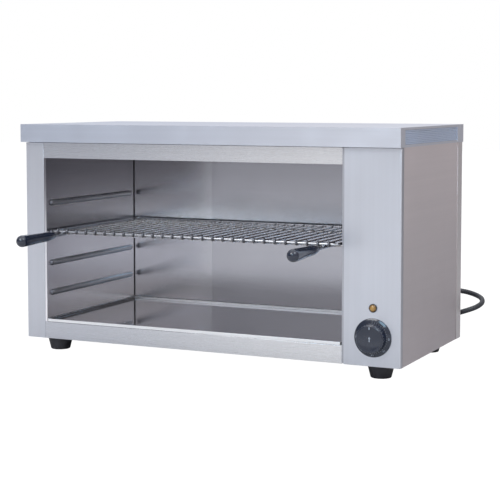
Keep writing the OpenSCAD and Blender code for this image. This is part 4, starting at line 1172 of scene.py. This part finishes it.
# %% Work out the cord's line
CORD_R = 4.5
route = [(297, 205, 95), (297, 225, 95), (302, 243, 94), (315, 256, 92), (333, 261, 89),
         (351, 256, 85), (364, 243, 81), (369, 225, 76), (364, 207, 71), (351, 194, 66),
         (333, 189, 60), (312, 187, 52), (291, 186, 43), (270, 185, 33), (249, 184, 23),
         (228, 182, 14), (207, 181, 8), (188, 180, 6), (168, 179, 5.7)]
tail = [(132, 183.5, 15), (120, 184, 16), (108, 184, 17.2), (96, 184, 18.6),
        (86, 184, 19)]
COIL_AT, OUTER_TURN, INNER_TURN, TOP_TURN = (150, 235), 56.0, 47.0, 51.5
LOW_Z, TOP_Z = 5.7, 14.6
CROSS_AT, RISE_AT, SETTLE_AT, COIL_END, COIL_STEP = 290, 540, 590, 1080, 12
CROSS_OVER, RISE_OVER, SETTLE_OVER, RISE_TO, RISEN_Z = 70, 90, 60, 60, 13.5


def eased(t):
    t = min(1.0, max(0.0, t))
    return t * t * (3 - 2 * t)


def coil_point(wound):
    """A point of the coil after so many degrees, from its nearest side, clockwise."""
    across = eased((wound - CROSS_AT) / CROSS_OVER)
    radius = OUTER_TURN + (INNER_TURN - OUTER_TURN) * across
    height = LOW_Z
    if wound > RISE_AT:
        lift = radians(RISE_TO) * eased((wound - RISE_AT) / RISE_OVER)
        radius = OUTER_TURN - 2 * CORD_R * cos(lift)
        height = LOW_Z + 2 * CORD_R * sin(lift)
        height += (TOP_Z - RISEN_Z) * eased((wound - SETTLE_AT) / SETTLE_OVER)
    angle = radians(-90 - wound)
    return COIL_AT[0] + radius * cos(angle), COIL_AT[1] + radius * sin(angle), height


def curved_through(points, steps):
    """A smooth line through the points, with extra points between each two."""
    line = []
    for i in range(len(points) - 1):
        a, b = points[max(i - 1, 0)], points[i]
        c, d = points[i + 1], points[min(i + 2, len(points) - 1)]
        chord = (c - b).length
        before = (b - a).length or chord
        after = (d - c).length or chord
        slope_b = (c - a) * (chord / (before + chord)) if i else c - b
        slope_c = (d - b) * (chord / (chord + after)) if i + 2 < len(points) else c - b
        for k in range(steps):
            t = k / steps
            line.append((2 * t**3 - 3 * t**2 + 1) * b + (t**3 - 2 * t**2 + t) * slope_b
                        + (-2 * t**3 + 3 * t**2) * c + (t**3 - t**2) * slope_c)
    line.append(points[-1].copy())
    return line


coil = [coil_point(wound) for wound in range(0, COIL_END + 1, COIL_STEP)]
cord_line = [point * MM
             for point in curved_through([Vector(p) for p in route + coil + tail], 4)]
cord_length = sum((b - a).length for a, b in zip(cord_line, cord_line[1:]))
print("cord length: %.3f m in %d points" % (cord_length, len(cord_line)))

# %% Make the cord
cord_curve = bpy.data.curves.new("mains_lead", "CURVE")
cord_curve.dimensions = "3D"
spline = cord_curve.splines.new("POLY")
spline.points.add(len(cord_line) - 1)
for point, place in zip(spline.points, cord_line):
    point.co = (*place, 1)
cord_curve.bevel_depth = CORD_R * MM
cord_curve.bevel_resolution = 4
cord_curve.use_fill_caps = True
lead = new_object("mains_lead", cord_curve)
dressed(lead, cord_rubber, "body")
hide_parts("mains_cord", "cord_coil", "mains_cord_end")

# %% [markdown]
# The tie is a flat strap that lies close round the three turns, with its lock on the
# outer side.

# %% Wrap the tie round the turns
TIE_W, TIE_T, TIE_GAP, ARC_STEPS = 6.0, 1.0, 0.1, 24
LOCK_HALF, LEAVES_OUTER, LEAVES_TOP = 24, 27, 153
lock_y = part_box("coil_tie")[1].y / MM
strap = bmesh.new()
sections = []
for turn_r, turn_z, first, last in ((OUTER_TURN, LOW_Z, -90, LEAVES_OUTER),
                                    (TOP_TURN, TOP_Z, LEAVES_OUTER, LEAVES_TOP),
                                    (INNER_TURN, LOW_Z, LEAVES_TOP, 270)):
    for k in range(ARC_STEPS + 1):
        wrapped = first + (last - first) * k / ARC_STEPS
        angle = radians(wrapped)
        section = []
        for side, layer in ((-1, TIE_T), (1, TIE_T), (1, 0), (-1, 0)):
            radius = CORD_R + TIE_GAP + layer
            y = COIL_AT[1] + turn_r + radius * cos(angle)
            if layer and abs(wrapped) < LOCK_HALF:
                y = lock_y
            x, z = COIL_AT[0] + side * TIE_W / 2, turn_z + radius * sin(angle)
            section.append(strap.verts.new(Vector((x, y, z)) * MM))
        sections.append(section)
loft(strap, sections, closed=True)
tie = new_object("coil_tie_strap", mesh_of(strap, "coil_tie_strap"))
smooth(tie.data, 30)
stand_in(tie, "coil_tie")

# %% [markdown]
# The plug is a rubber moulding with grip rings behind its round face. Its two pins are
# the solid pins as they are.

# %% Turn the plug
GRIPS, GRIP_FROM, GRIP_PITCH, PLUG_STEPS = 4, 3, 4.5, 48
plug_low, plug_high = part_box("mains_plug")
plug_at = Vector((plug_high.x, (plug_low.y + plug_high.y) / 2,
                  (plug_low.z + plug_high.z) / 2))
plug_l = plug_high.x - plug_low.x
plug_r = (plug_high.z - plug_low.z) / 2
plug_profile = [(0, 0), (5.4 * MM, 0), (6.0 * MM, 0.6 * MM)]
for k in range(GRIPS):
    start, radius = (GRIP_FROM + GRIP_PITCH * k) * MM, (6.2 + 0.9 * k) * MM
    plug_profile += [(radius + out * MM, start + on * MM)
                     for out, on in ((0, 0), (0.9, 0.5), (0.9, 2.4), (0.4, 2.9))]
plug_profile += [(plug_r * 0.72, 0.42 * plug_l), (plug_r * 0.93, 0.47 * plug_l),
                 (plug_r, 0.52 * plug_l)]
plug_profile += [(plug_r - less * MM, plug_l - below * MM) for less, below in (
    (0, 8), (1.2, 7.4), (1.2, 5.6), (0, 5), (0, 0.8), (0.8, 0))]
plug_profile += [(0, plug_l)]
lying = Matrix.Translation(plug_at) @ Matrix.Rotation(radians(-90), 4, "Y")
plug = turned_piece("mains_plug_moulding", lying, plug_profile, PLUG_STEPS, 40)
stand_in(plug, "mains_plug")
